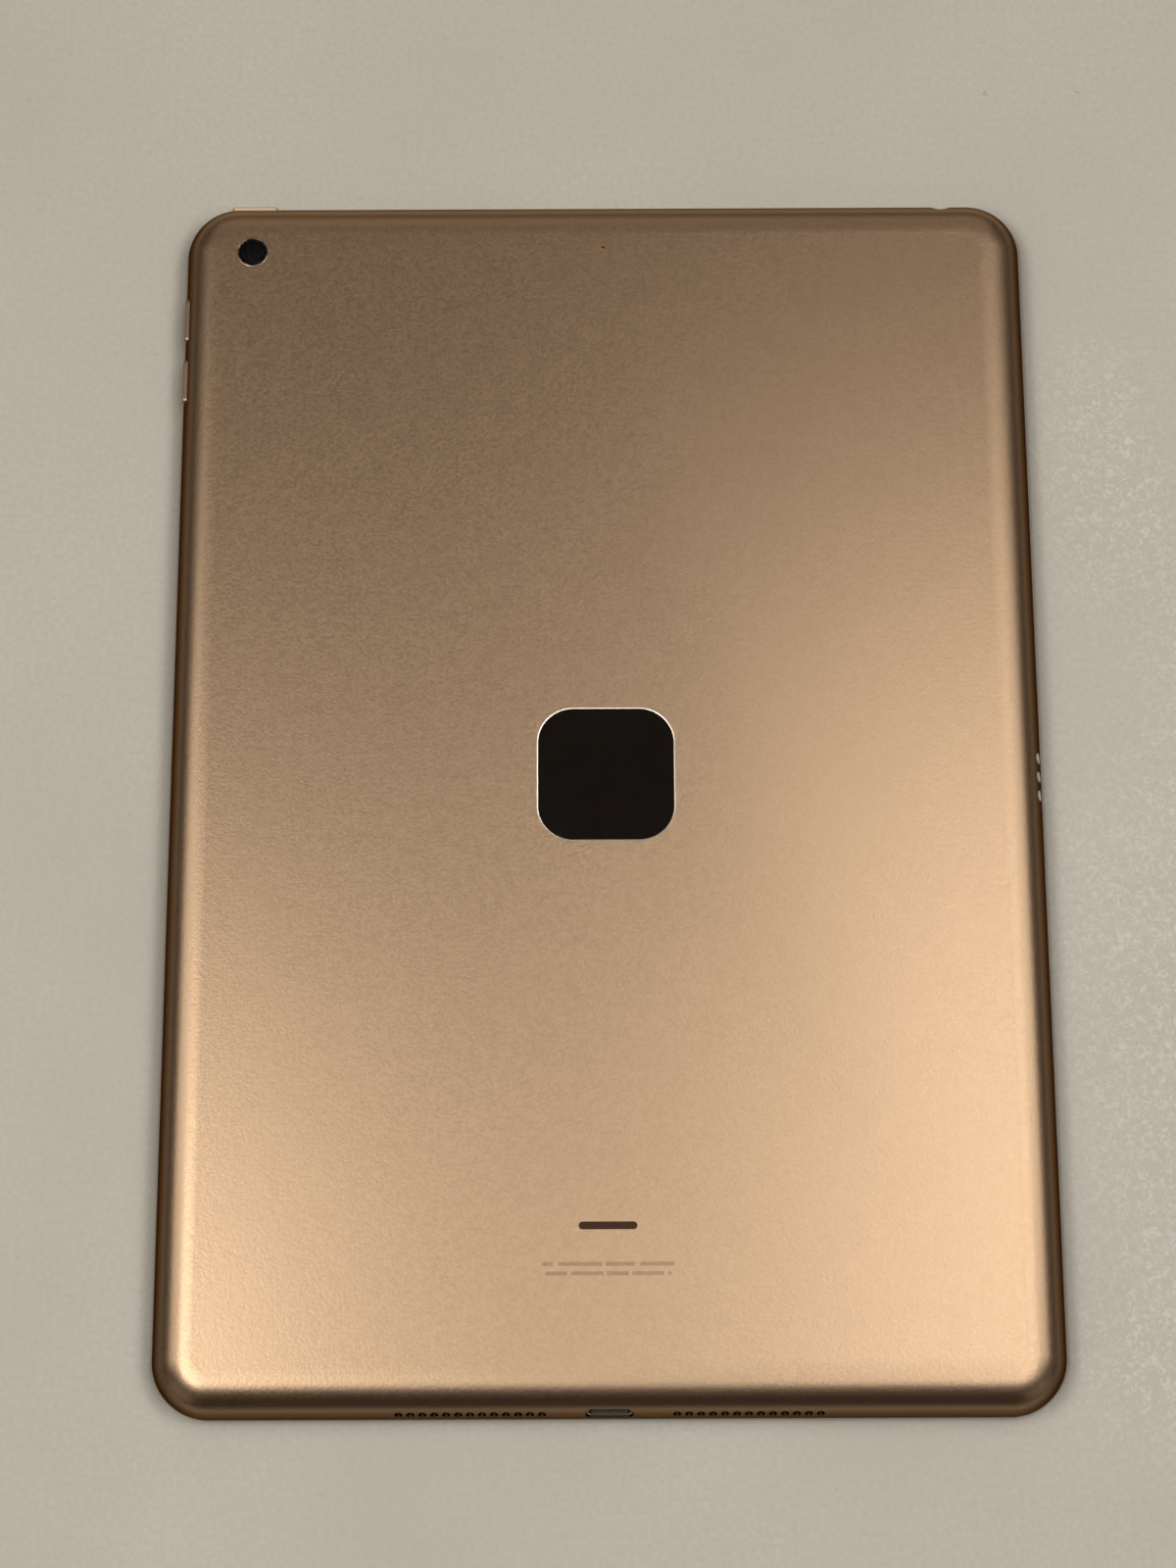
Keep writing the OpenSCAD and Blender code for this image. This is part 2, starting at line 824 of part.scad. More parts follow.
module logic_board() {
    color("#1f4a3a") difference() {
        block([board_x[0], board_y[0], board_z], [board_x[1], board_y[1], board_z + board_t]);
        post_holes(board_posts);
    }
}

// Chip that hangs under the logic board, given by its centre, width, length and thickness
module chip(x, y, w, l, t) {
    block([x - w / 2, y - l / 2, board_z - t], [x + w / 2, y + l / 2, board_z]);
}

module processor() {
    color("#3b3b3f") chip(65, 55, 14, 14, 0.9);
}

module memory_chips() {
    color("#2b2b2e") {
        chip(59, 76, 10, 9, 0.8);
        chip(71, 76, 10, 9, 0.8);
        chip(57.5, -26, 9, 12, 0.9);
    }
}

module wireless_module() {
    color("#9a9aa0") chip(68, -46, 13, 11, 1.1);
}

module board_connectors() {
    color("#4a4036") {
        chip(61.8, -3, 4, 14, 0.8);
        chip(75, 20, 4, 16, 0.8);
        chip(54, 92, 5, 8, 0.8);
    }
}

module board_shield() {
    can_t = 0.2;
    low = [51.5, 44, board_z - 1.4];
    high = [78.5, 84, board_z];
    color("silver") difference() {
        block(low, high);
        block(low + [can_t, can_t, can_t], high + [-can_t, -can_t, past]);
    }
}

// ---- display ----

module display_panel() {
    color("#0c0d10") translate([0, 0, panel_z + panel_t / 2])
        cube([panel_w, panel_l, panel_t], center = true);
}

module display_tray() {
    half_w = tray_w / 2;
    half_l = tray_l / 2;
    color("silver") difference() {
        union() {
            block([-half_w, -half_l, panel_z + 0.1], [half_w, half_l, tray_top]);
            for (x = [-1, 1])
                translate([x * ear_x, 0, tray_z + tray_t / 2])
                    cube([ear_w, 2 * (ear_y + ear_l / 2), tray_t], center = true);
        }
        block(
            [-half_w + tray_wall, -half_l + tray_wall, 0],
            [half_w - tray_wall, half_l - tray_wall, tray_z]
        );
        post_holes(display_posts);
    }
}

// Ribbon that leaves the display's back and folds up to the logic board
module display_cable() {
    low_z = tray_top + 0.08;
    fold_x = 64;
    color("#c47a2c") translate([0, 4, 0]) rotate([90, 0, 0]) linear_extrude(14)
        polygon([
            [30, low_z], [fold_x + cable_t, low_z], [fold_x + cable_t, board_z - 0.3],
            [fold_x, board_z - 0.3], [fold_x, low_z + cable_t], [30, low_z + cable_t]
        ]);
}

// Ribbon that leaves the glass beside the display and reaches the logic board
module touch_cable() {
    near_x = tray_w / 2 + 0.35;
    color("#c47a2c") translate([0, 28, 0]) rotate([90, 0, 0]) linear_extrude(16)
        polygon([
            [near_x, border_z + slip], [near_x + cable_t, border_z + slip],
            [near_x + cable_t, board_z - 0.2], [77.1, board_z - 0.2],
            [77.1, board_z - 0.2 - cable_t], [near_x, board_z - 0.2 - cable_t]
        ]);
}

module cover_glass() {
    color("#dfe7ea", 0.35) difference() {
        rounded_plate(
            body_w - 2 * glass_inset, body_l - 2 * glass_inset, corner_r - glass_inset,
            0, glass_t
        );
        translate([0, home_y, -past]) cylinder(r = home_hole_r, h = glass_t + 2 * past);
    }
}

// Printed border under the glass, with the screen's window
module glass_border() {
    edge = glass_inset + 0.1;
    color("#f2f1ee") difference() {
        rounded_plate(
            body_w - 2 * edge, body_l - 2 * edge, corner_r - edge, glass_t, border_z
        );
        block([-view_w / 2, -view_l / 2, 0], [view_w / 2, view_l / 2, body_h]);
        translate([0, home_y, 0]) cylinder(r = home_hole_r + 0.15, h = body_h);
        translate([0, front_camera_y, 0]) cylinder(r = 1.6, h = body_h);
    }
}

module glass_gasket() {
    outer = lip_w + slip;
    color("#e9e4dc")
        rounded_frame(
            body_w - 2 * outer, body_l - 2 * outer, corner_r - outer,
            glass_inset - lip_w - 2 * slip, 0.1, border_z
        );
}

module glass_adhesive() {
    edge = glass_inset + 0.2;
    color("#4a4a4a")
        rounded_frame(
            body_w - 2 * edge, body_l - 2 * edge, corner_r - edge,
            side_wall - edge - 0.1, border_z + 0.02, ledge_z - 0.02
        );
}

// ---- home button ----

module home_button() {
    color("#f2f1ee") translate([0, home_y, 0]) rotate_extrude() difference() {
        translate([0, home_face_z]) square([home_cap_r, home_carrier_z - home_face_z]);
        translate([0, home_face_z + dish_depth - dish_r]) circle(dish_r, $fn = 720);
    }
}

module home_button_ring() {
    inner = home_cap_r + 0.02;
    section = [
        [inner, home_carrier_z], [inner, home_face_z], [inner + 0.12, 0.05],
        [home_r - 0.08, 0.05], [home_r, home_face_z], [home_r, home_carrier_z]
    ];
    color("#d8b48c") translate([0, home_y, 0]) rotate_extrude() polygon(section);
}

module home_button_sensor() {
    color("#2a2a2d") translate([0, home_y, home_carrier_z])
        cylinder(r = home_r + 0.85, h = home_carrier_t);
}

module home_button_gasket() {
    low_z = border_z + 0.02;
    color("#5a5a5c") translate([0, home_y, low_z]) difference() {
        cylinder(r = home_hole_r + 1.1, h = home_carrier_z - slip - low_z);
        translate([0, 0, -past]) cylinder(r = home_hole_r + 0.1, h = body_h);
    }
}

// Strap over the button, with a foot on the glass at each end
module home_button_bracket() {
    strap_z = home_switch_z + home_switch_t;
    foot = 1.8;
    color("silver") {
        block(
            [-home_strap_x, home_strap_y[0], strap_z],
            [home_strap_x, home_strap_y[1], strap_z + home_strap_t]
        );
        for (x = [-home_strap_x, home_strap_x - foot])
            block(
                [x, home_strap_y[0], border_z + 0.02],
                [x + foot, home_strap_y[1], strap_z + slip]
            );
    }
}

module home_button_switch() {
    color("#d8d8d4") translate([0, home_y, home_switch_z]) {
        cylinder(r = 0.9, h = home_switch_t);
        translate([0, 0, home_switch_t / 2 + 0.15])
            cube([3.2, 3.2, home_switch_t - 0.3], center = true);
    }
}

// Ribbon from the strap up over the display's tray
module home_button_cable() {
    strap_top = home_switch_z + home_switch_t + home_strap_t;
    low_z = strap_top + 0.02;
    high_z = tray_top + 0.08;
    start_y = home_strap_y[0] + 0.6;
    ramp_y = [home_strap_y[1] + 0.6, -tray_l / 2 - 0.9];
    color("#c47a2c") translate([-2.5, 0, 0]) rotate([90, 0, 90]) linear_extrude(5)
        polygon([
            [start_y, low_z], [ramp_y[0], low_z], [ramp_y[1], high_z], [-90, high_z],
            [-90, high_z + cable_t], [ramp_y[1], high_z + cable_t],
            [ramp_y[0], low_z + cable_t], [start_y, low_z + cable_t]
        ]);
}

// ---- front camera, sensors, antennas, magnets and screws ----

module front_camera() {
    color("#1d1f22") translate([0, front_camera_y, 0]) difference() {
        union() {
            block([-3.2, -3.2, 1.7], [3.2, 3.2, 4.5]);
            translate([0, 0, border_z + 0.02]) cylinder(r = 1.9, h = 1);
        }
        cylinder(r1 = 1.4, r2 = 0.7, h = border_z + 0.3);
    }
}

module light_sensor() {
    color("#2a2a2d") block(
        [11, front_camera_y - 1.2, border_z + slip],
        [14, front_camera_y + 1.2, border_z + 0.9]
    );
}

module wireless_antennas() {
    color("#4b4b45") for (side = [0, 1]) mirror([side, 0, 0])
        block([57, -edge_y + 5, 1.4], [78, -edge_y + 14, 3.8]);
}

module cover_magnets() {
    low_x = cavity_x - 1.6;
    color("#a8a8ac") {
        for (y = [-85, -55, -25, 70, 95])
            block([low_x, y - 5, 3.7], [cavity_x - 0.2, y + 5, 5.1]);
        for (y = [-85, -55, -25, 15, 45])
            mirror([1, 0, 0]) block([low_x, y - 5, 3.7], [cavity_x - 0.2, y + 5, 5.1]);
    }
}

module display_screws() {
    color("#9c9ca0") for (place = display_posts) post_screw(place);
}

module bracket_screws() {
    color("#9c9ca0") {
        for (place = other_posts) post_screw(place);
        on_bracket_screws(side_wall - 0.8, bracket_depth + bracket_t + slip, screw_shank_r);
        on_bracket_screws(
            bracket_depth + bracket_t, bracket_depth + bracket_t + screw_head_t, screw_head_r
        );
    }
}

rear_housing();
back_inlay();
rear_camera_ring();
rear_camera_window();
rear_camera_module();
rear_camera_lens();
rear_camera_sensor();
rear_camera_bracket();
rear_microphone();
power_button();
volume_up_button();
volume_down_button();
power_button_bracket();
volume_button_bracket();
button_switches();
button_cable();
headphone_jack();
headphone_contacts();
charge_port_bezel();
charge_port_shell();
charge_port_contacts();
charge_port_board();
accessory_contacts();
accessory_contact_holder();
left_speaker_box();
right_speaker_box();
left_speaker_diaphragm();
right_speaker_diaphragm();
speaker_meshes();
left_battery_cell();
right_battery_cell();
battery_controller();
battery_adhesive();
logic_board();
processor();
memory_chips();
wireless_module();
board_connectors();
board_shield();
display_panel();
display_tray();
display_cable();
touch_cable();
cover_glass();
glass_border();
glass_gasket();
glass_adhesive();
home_button();
home_button_ring();
home_button_sensor();
home_button_gasket();
home_button_bracket();
home_button_switch();
home_button_cable();
front_camera();
light_sensor();
wireless_antennas();
cover_magnets();
display_screws();
bracket_screws();
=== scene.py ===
# A tablet computer lying face down on a pale table, its gold aluminium back up.
import json
import math

import bmesh
import bpy
from mathutils import Matrix, Vector


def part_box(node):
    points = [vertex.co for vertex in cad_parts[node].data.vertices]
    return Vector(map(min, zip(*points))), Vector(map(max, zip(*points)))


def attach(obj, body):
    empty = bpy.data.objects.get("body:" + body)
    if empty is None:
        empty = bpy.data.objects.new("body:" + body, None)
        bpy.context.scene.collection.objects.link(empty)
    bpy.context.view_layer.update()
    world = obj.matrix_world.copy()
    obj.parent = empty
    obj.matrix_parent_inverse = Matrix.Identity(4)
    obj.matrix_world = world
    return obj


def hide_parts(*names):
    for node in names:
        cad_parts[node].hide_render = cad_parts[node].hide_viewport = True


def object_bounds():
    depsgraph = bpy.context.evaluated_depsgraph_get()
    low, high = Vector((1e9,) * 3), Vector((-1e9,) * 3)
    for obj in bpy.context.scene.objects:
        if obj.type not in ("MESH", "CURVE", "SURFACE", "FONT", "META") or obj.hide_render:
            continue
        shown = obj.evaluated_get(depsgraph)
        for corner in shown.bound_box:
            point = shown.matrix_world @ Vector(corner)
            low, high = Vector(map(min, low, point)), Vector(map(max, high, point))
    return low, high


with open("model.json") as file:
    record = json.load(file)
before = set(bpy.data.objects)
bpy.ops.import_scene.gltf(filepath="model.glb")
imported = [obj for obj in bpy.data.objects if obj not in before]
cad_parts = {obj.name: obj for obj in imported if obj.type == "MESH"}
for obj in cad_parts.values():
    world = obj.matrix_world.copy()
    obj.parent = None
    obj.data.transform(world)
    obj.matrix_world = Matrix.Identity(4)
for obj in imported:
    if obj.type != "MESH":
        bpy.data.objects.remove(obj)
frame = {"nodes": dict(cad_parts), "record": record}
cad_low, cad_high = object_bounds()

MM = 0.001
PARTS = frame["nodes"]
SLOT_OF = {row["node"]: row["material_slot"] for row in frame["record"]["subparts"]}
BODY_OF = {
    node: body
    for body, nodes in frame["record"]["behaviour"]["bodies"].items()
    for node in nodes
}


# ---------- camera, floor and light ----------

SENSOR_MM = 36.0
LENS_MM = 73.4625
CAMERA_AT = (-0.0032, -0.1772, 0.6165)
CAMERA_TURN = (16.04, 0.10, -0.22)
LAMP_HEIGHT = 1.5
LAMP_COLOR = (1.0, 0.97, 0.93)
FAR_WALL_COLOR = (1.0, 0.86, 0.74)
CORNER_WALL_COLOR = (1.0, 0.88, 0.77)
ROOM_COLOR = (1.0, 0.80, 0.66, 1)
ROOM_STRENGTH = 0.055


def make_camera():
    data = bpy.data.cameras.new("camera")
    data.sensor_width = SENSOR_MM
    data.lens = LENS_MM
    data.clip_start = 0.01
    camera = bpy.data.objects.new("camera", data)
    camera.location = CAMERA_AT
    camera.rotation_euler = [math.radians(a) for a in CAMERA_TURN]
    bpy.context.scene.collection.objects.link(camera)
    bpy.context.scene.camera = camera


def area_light(name, place, aim, width, length, watts, color=LAMP_COLOR):
    """Rectangle of light at a place, facing another, which the camera itself doesn't see."""
    data = bpy.data.lights.new(name, "AREA")
    data.shape = "RECTANGLE"
    data.size = width
    data.size_y = length
    data.energy = watts
    data.color = color
    light = bpy.data.objects.new(name, data)
    light.location = place
    light.visible_camera = False
    turn = (Vector(aim) - Vector(place)).to_track_quat("-Z", "Y").to_euler()
    light.rotation_euler = turn if aim[:2] != place[:2] else (0, 0, 0)
    bpy.context.scene.collection.objects.link(light)


def ceiling_lamp(name, x, y, width, length, watts):
    area_light(name, (x, y, LAMP_HEIGHT), (x, y, 0), width, length, watts)


def make_lights():
    """A lamp and a broader panel overhead on either side of the camera, which the back mirrors,
    dim walls further off for the edges and the other views, and a lamp below for the front."""
    ceiling_lamp("left_lamp", -0.46, -0.19, 0.2, 0.8, 5.7)
    ceiling_lamp("left_panel", -1.4, 0.3, 1.4, 0.5, 4.7)
    ceiling_lamp("right_lamp", 0.37, 0.02, 0.2, 1.1, 3.95)
    ceiling_lamp("right_panel", 1.27, 0.32, 1.36, 0.55, 5.1)
    ceiling_lamp("right_corner_panel", 0.85, -0.42, 0.5, 0.5, 0.75)
    area_light("far_wall", (0, 3.2, 2.3), (0, 0, 0.6), 4.0, 2.4, 8.0, FAR_WALL_COLOR)
    for side in (-1, 1):
        area_light("corner_wall", (2.6 * side, -2.6, 1.5), (0, 0, 0), 2.4, 2.0, 5.0,
                   CORNER_WALL_COLOR)
    area_light("lamp_below", (0.35, -0.25, -1.1), (0, 0, 0), 0.9, 0.9, 13.0)
    world = bpy.data.worlds.new("studio")
    world.use_nodes = True
    background = world.node_tree.nodes["Background"]
    background.inputs["Color"].default_value = ROOM_COLOR
    background.inputs["Strength"].default_value = ROOM_STRENGTH
    bpy.context.scene.world = world
    bpy.context.scene.view_settings.view_transform = "Standard"


# ---------- materials ----------

class Surface:
    """A Principled material whose patterns are read in the object's own metres."""

    def __init__(self, name, color, roughness, metallic=0.0, **sockets):
        self.material = bpy.data.materials.new(name)
        self.material.use_nodes = True
        self.tree = self.material.node_tree
        self.shader = self.tree.nodes["Principled BSDF"]
        self.shader.inputs["Base Color"].default_value = (*color, 1)
        self.shader.inputs["Roughness"].default_value = roughness
        self.shader.inputs["Metallic"].default_value = metallic
        for socket, value in sockets.items():
            self.shader.inputs[socket.replace("_", " ")].default_value = value
        self.color = color
        self.place = self.node("ShaderNodeTexCoord").outputs["Object"]

    def node(self, kind, **settings):
        node = self.tree.nodes.new(kind)
        for key, value in settings.items():
            setattr(node, key, value)
        return node

    def join(self, output, socket):
        self.tree.links.new(output, socket)

    def math(self, operation, *values):
        """Output of a Math node on numbers and outputs."""
        node = self.node("ShaderNodeMath", operation=operation)
        for socket, value in zip(node.inputs, values):
            if isinstance(value, (int, float)):
                socket.default_value = value
            else:
                self.join(value, socket)
        return node.outputs[0]

    def axes(self):
        """The object's coordinates, as X, Y and Z outputs."""
        split = self.node("ShaderNodeSeparateXYZ")
        self.join(self.place, split.inputs[0])
        return split.outputs

    def stretched(self, scale):
        """The object's coordinates, scaled apart along X, Y and Z."""
        mapping = self.node("ShaderNodeMapping")
        mapping.inputs["Scale"].default_value = scale
        self.join(self.place, mapping.inputs["Vector"])
        return mapping.outputs[0]

    def noise(self, size_mm, detail=3.0, place=None):
        """Noise from 0 to 1 with blotches of about size_mm."""
        node = self.node("ShaderNodeTexNoise")
        node.inputs["Scale"].default_value = 1 / (size_mm * MM)
        node.inputs["Detail"].default_value = detail
        self.join(place or self.place, node.inputs["Vector"])
        return node.outputs["Fac"]

    def spread(self, value, low, high, from_low=0.3, from_high=0.7):
        """Goes from low to high as value goes from from_low to from_high, and no further."""
        node = self.node("ShaderNodeMapRange")
        for socket, number in zip(
            ("From Min", "From Max", "To Min", "To Max"), (from_low, from_high, low, high)
        ):
            node.inputs[socket].default_value = number
        self.join(value, node.inputs["Value"])
        return node.outputs["Result"]

    def blend(self, amount, first, second):
        """Colour that goes from first to second with amount."""
        node = self.node("ShaderNodeMix", data_type="RGBA")
        self.join(amount, node.inputs["Factor"])
        for socket, value in ((node.inputs[6], first), (node.inputs[7], second)):
            if isinstance(value, tuple):
                socket.default_value = (*value, 1)
            else:
                self.join(value, socket)
        return node.outputs[2]

    def tinted(self, value, swing):
        """The base colour, a little darker and lighter with value."""
        dark = tuple(c * (1 - swing) for c in self.color)
        light = tuple(min(1.0, c * (1 + swing)) for c in self.color)
        return self.blend(value, dark, light)

    def set_color(self, output):
        self.join(output, self.shader.inputs["Base Color"])

    def set_roughness(self, output):
        self.join(output, self.shader.inputs["Roughness"])

    def attribute(self, name):
        """Value of a face attribute that the mesh carries."""
        return self.node("ShaderNodeAttribute", attribute_name=name).outputs["Fac"]

    def bump(self, height, depth_mm):
        """Raises the surface by up to depth_mm, on top of the bumps that it already has."""
        node = self.node("ShaderNodeBump")
        node.inputs["Strength"].default_value = 1.0
        node.inputs["Distance"].default_value = depth_mm * MM
        self.join(height, node.inputs["Height"])
        last = self.shader.inputs["Normal"].links
        if last:
            self.join(last[0].from_socket, node.inputs["Normal"])
        self.join(node.outputs[0], self.shader.inputs["Normal"])


def grained(name, color, roughness, metallic=0.0, grain_mm=0.3, depth_mm=0.005,
            rough_swing=0.06, tint_swing=0.05, patch_mm=12.0, **sockets):
    """Surface with a fine grain, and slow changes in colour and gloss."""
    made = Surface(name, color, roughness, metallic, **sockets)
    patches = made.noise(patch_mm, 2.0)
    fine = made.noise(grain_mm, 3.0)
    made.set_color(made.tinted(patches, tint_swing))
    made.set_roughness(made.spread(fine, roughness - rough_swing, roughness + rough_swing))
    made.bump(fine, depth_mm)
    return made


GOLD = (0.56, 0.39, 0.25)
EDGE_GLINT = (0.4, 0.33, 0.27, 1)
# Painted shade for the rounded edge: darker colours that stand in for its dark reflections of the
# shadowed table
PAINTED_SHADE_LOW_ON_EDGE = (0.05, 0.018, 0.006)
PAINTED_SHADE_ON_EDGE = (0.03, 0.005, 0.0)
# Painted shade for the walls of the cuts in the casing
HOLE_PAINTED_SHADE = (0.006, 0.003, 0.002)
# Bare metal colour of the bevels in the back, made paler as a painted highlight
BARE_BEVEL_WITH_PAINTED_HIGHLIGHT = (0.98, 0.86, 0.74)
BAR_INK = (0.06, 0.033, 0.02)
DASH_INK = (0.2, 0.13, 0.085)
# The printed marks' middle, width and height in millimetres, and the pitch of the dashes
BAR = ((-0.1, -89.6), 11.2, 1.5)
DASH_ROWS = (((-0.1, -96.9), 25.2, 0.75, 3.1), ((-0.1, -98.7), 24.0, 0.75, 2.3))


def paint_edge_shade(made, base):
    """Paints shade into the colour of the rounded edge: low down all round, and higher up on the
    long sides and in a band along the bottom. This painted shade stands in for the edge's dark
    reflections of the table in its contact shadow."""
    x, y, z = made.axes()
    low_down = made.spread(z, 0.66, 0.0, cad_high.z - 3.5 * MM, cad_high.z - 1.3 * MM)
    base = made.blend(low_down, base, PAINTED_SHADE_LOW_ON_EDGE)
    sides = made.spread(made.math("ABSOLUTE", x), 0, 1, cad_high.x - 9 * MM, cad_high.x - 3 * MM)
    steep = made.spread(z, 0.55, 0.0, cad_high.z - 2.2 * MM, cad_high.z - 0.8 * MM)
    bottom = made.spread(y, 1, 0, cad_low.y + 3 * MM, cad_low.y + 9 * MM)
    off_band = made.math("ABSOLUTE", made.math("SUBTRACT", z, cad_high.z - 1.2 * MM))
    band = made.spread(off_band, 0.4, 0.0, 0.35 * MM, 1.3 * MM)
    painted_edge_shade = made.math("MAXIMUM", made.math("MULTIPLY", sides, steep),
                           made.math("MULTIPLY", bottom, band))
    return made.blend(painted_edge_shade, base, PAINTED_SHADE_ON_EDGE)


def print_marks(made, base):
    """Prints a plain bar and two rows of plain dashes on the back."""
    x, y, z = made.axes()
    on_back = made.math("GREATER_THAN", z, cad_high.z - 0.05 * MM)
    bar = printed_bar(made, x, y, *BAR)
    dashes = made.math("MAXIMUM", *(printed_dashes(made, x, y, *row) for row in DASH_ROWS))
    base = made.blend(made.math("MULTIPLY", on_back, bar), base, BAR_INK)
    faint = made.math("MULTIPLY", made.math("MULTIPLY", on_back, dashes), 0.45)
    return made.blend(faint, base, DASH_INK)


def anodised_aluminium():
    """Bead-blasted gold anodising, with the plain printed marks on the back."""
    made = Surface("anodised_aluminium", GOLD, 0.34, 1.0, Specular_Tint=EDGE_GLINT)
    pits = made.noise(0.14, 4.0)
    grain = made.noise(0.6, 2.0)
    patches = made.noise(35.0, 2.0)
    made.set_roughness(made.spread(grain, 0.315, 0.365))
    made.bump(pits, 0.009)
    made.bump(grain, 0.02)
    base = made.blend(made.spread(grain, 0, 1, 0.4, 0.6), tuple(c * 0.93 for c in GOLD), GOLD)
    base = made.blend(made.spread(patches, 0, 0.3), base, tuple(c * 0.97 for c in GOLD))
    # Painted shade on the rounded edges: low down, on the long sides and along the bottom
    base = paint_edge_shade(made, base)
    # Painted shade on the walls of the cuts
    base = made.blend(made.math("MULTIPLY", made.attribute("bore"), 0.9), base, HOLE_PAINTED_SHADE)
    # Bevels round the cuts in the back: bare metal, with a painted highlight
    base = made.blend(made.attribute("rim"), base, BARE_BEVEL_WITH_PAINTED_HIGHLIGHT)
    made.set_color(print_marks(made, base))
    return made


def printed_bar(made, x, y, centre, width, height):
    """1 inside a bar with round ends, given in millimetres, and 0 outside."""
    reach = (width - height) / 2 * MM
    along = made.math("ABSOLUTE", made.math("SUBTRACT", x, centre[0] * MM))
    along = made.math("MAXIMUM", made.math("SUBTRACT", along, reach), 0)
    across = made.math("SUBTRACT", y, centre[1] * MM)
    distance = made.math("SQRT", made.math("ADD", made.math("MULTIPLY", along, along),
                                           made.math("MULTIPLY", across, across)))
    return made.math("LESS_THAN", distance, height / 2 * MM)


def printed_dashes(made, x, y, centre, width, height, pitch):
    """1 inside a row of plain dashes of uneven pitch, and 0 outside."""
    bar = printed_bar(made, x, y, centre, width, height)
    wave = made.math("SINE", made.math("MULTIPLY", x, 2 * math.pi / (pitch * MM)))
    drift = made.math("SINE", made.math("MULTIPLY", x, 2 * math.pi / (pitch * 2.7 * MM)))
    gaps = made.math("GREATER_THAN", made.math("ADD", wave, drift), -1.35)
    return made.math("MULTIPLY", bar, gaps)


# Lit and shaded copies of the buttons' gold: painted shade on the side buttons, painted light on
# the top one
SIDE_BUTTON_PAINTED_SHADE = (0.42, 0.29, 0.2)
TOP_BUTTON_PAINTED_LIGHT = (0.98, 0.80, 0.62)


def button_metal():
    """Gold anodising, brightest on the button of the top edge: painted light there, and painted
    shade on the side buttons.
    """
    made = Surface("button_metal", SIDE_BUTTON_PAINTED_SHADE, 0.42, 1.0)
    y = made.axes()["Y"]
    on_top_edge = made.math("GREATER_THAN", y, cad_high.y - 3 * MM)
    fine = made.spread(made.noise(0.2), -0.03, 0.03)
    made.set_color(made.blend(on_top_edge, SIDE_BUTTON_PAINTED_SHADE, TOP_BUTTON_PAINTED_LIGHT))
    made.set_roughness(made.math("ADD", made.spread(on_top_edge, 0.40, 0.54, 0, 1), fine))
    made.bump(made.noise(0.2), 0.003)
    return made


def rimmed_plastic():
    """Dark plastic of the charge port's frame, with a bare metal bevel round the opening."""
    made = Surface("port_plastic", (0.03, 0.024, 0.02), 0.42)
    rim = made.attribute("rim")
    made.set_color(made.blend(rim, made.tinted(made.noise(0.4), 0.15), (0.5, 0.42, 0.35)))
    made.join(rim, made.shader.inputs["Metallic"])
    made.set_roughness(made.spread(made.noise(0.15), 0.38, 0.5))
    made.bump(made.noise(0.15), 0.004)
    return made


def brushed(name, color, roughness, stretch):
    """Metal with fine lines along the axis whose stretch is small."""
    made = Surface(name, color, roughness, 1.0)
    lines = made.noise(1.0, 4.0, made.stretched(stretch))
    made.set_color(made.tinted(made.noise(9.0), 0.06))
    made.set_roughness(made.spread(lines, roughness - 0.08, roughness + 0.1))
    made.bump(lines, 0.004)
    return made


def circuit_board():
    """Dark green solder mask over traces, with tinned pads."""
    made = Surface("circuit_board", (0.012, 0.06, 0.04), 0.32, 0.0, Coat_Weight=0.4)
    bricks = made.node("ShaderNodeTexBrick")
    bricks.inputs["Scale"].default_value = 420
    bricks.inputs["Mortar Size"].default_value = 0.012
    bricks.inputs["Color1"].default_value = (0.010, 0.050, 0.034, 1)
    bricks.inputs["Color2"].default_value = (0.014, 0.072, 0.046, 1)
    bricks.inputs["Mortar"].default_value = (0.03, 0.13, 0.075, 1)
    made.join(made.place, bricks.inputs["Vector"])
    pads = made.node("ShaderNodeTexVoronoi")
    pads.inputs["Scale"].default_value = 700
    made.join(made.place, pads.inputs["Vector"])
    dots = made.math("LESS_THAN", pads.outputs["Distance"], 0.16)
    made.set_color(made.blend(dots, bricks.outputs["Color"], (0.55, 0.5, 0.38)))
    made.set_roughness(made.spread(made.noise(0.8), 0.26, 0.4))
    made.bump(bricks.outputs["Fac"], -0.02)
    return made


def ribbon_cable():
    """Amber film with copper lines inside."""
    made = Surface("ribbon_cable", (0.45, 0.17, 0.03), 0.3, 0.0, Coat_Weight=0.5)
    wave = made.node("ShaderNodeTexWave", wave_type="BANDS", bands_direction="DIAGONAL")
    wave.inputs["Scale"].default_value = 900
    wave.inputs["Distortion"].default_value = 0.4
    made.join(made.place, wave.inputs["Vector"])
    made.set_color(made.blend(wave.outputs["Fac"], (0.38, 0.14, 0.025), (0.62, 0.28, 0.07)))
    made.set_roughness(made.spread(made.noise(1.5), 0.24, 0.38))
    made.bump(wave.outputs["Fac"], 0.01)
    return made


def woven_mesh():
    """Fine dark wire cloth."""
    made = Surface("mesh_metal", (0.07, 0.07, 0.075), 0.45, 0.9)
    x, _, z = made.axes()
    pitch = 0.16 * MM
    weft = made.math("SINE", made.math("MULTIPLY", x, 2 * math.pi / pitch))
    warp = made.math("SINE", made.math("MULTIPLY", z, 2 * math.pi / pitch))
    cloth = made.math("MULTIPLY", weft, warp)
    made.set_color(made.blend(made.spread(cloth, 0, 1, -1, 1), (0.01, 0.01, 0.01),
                              (0.16, 0.16, 0.17)))
    made.set_roughness(made.spread(made.noise(0.5), 0.38, 0.55))
    made.bump(cloth, 0.02)
    return made


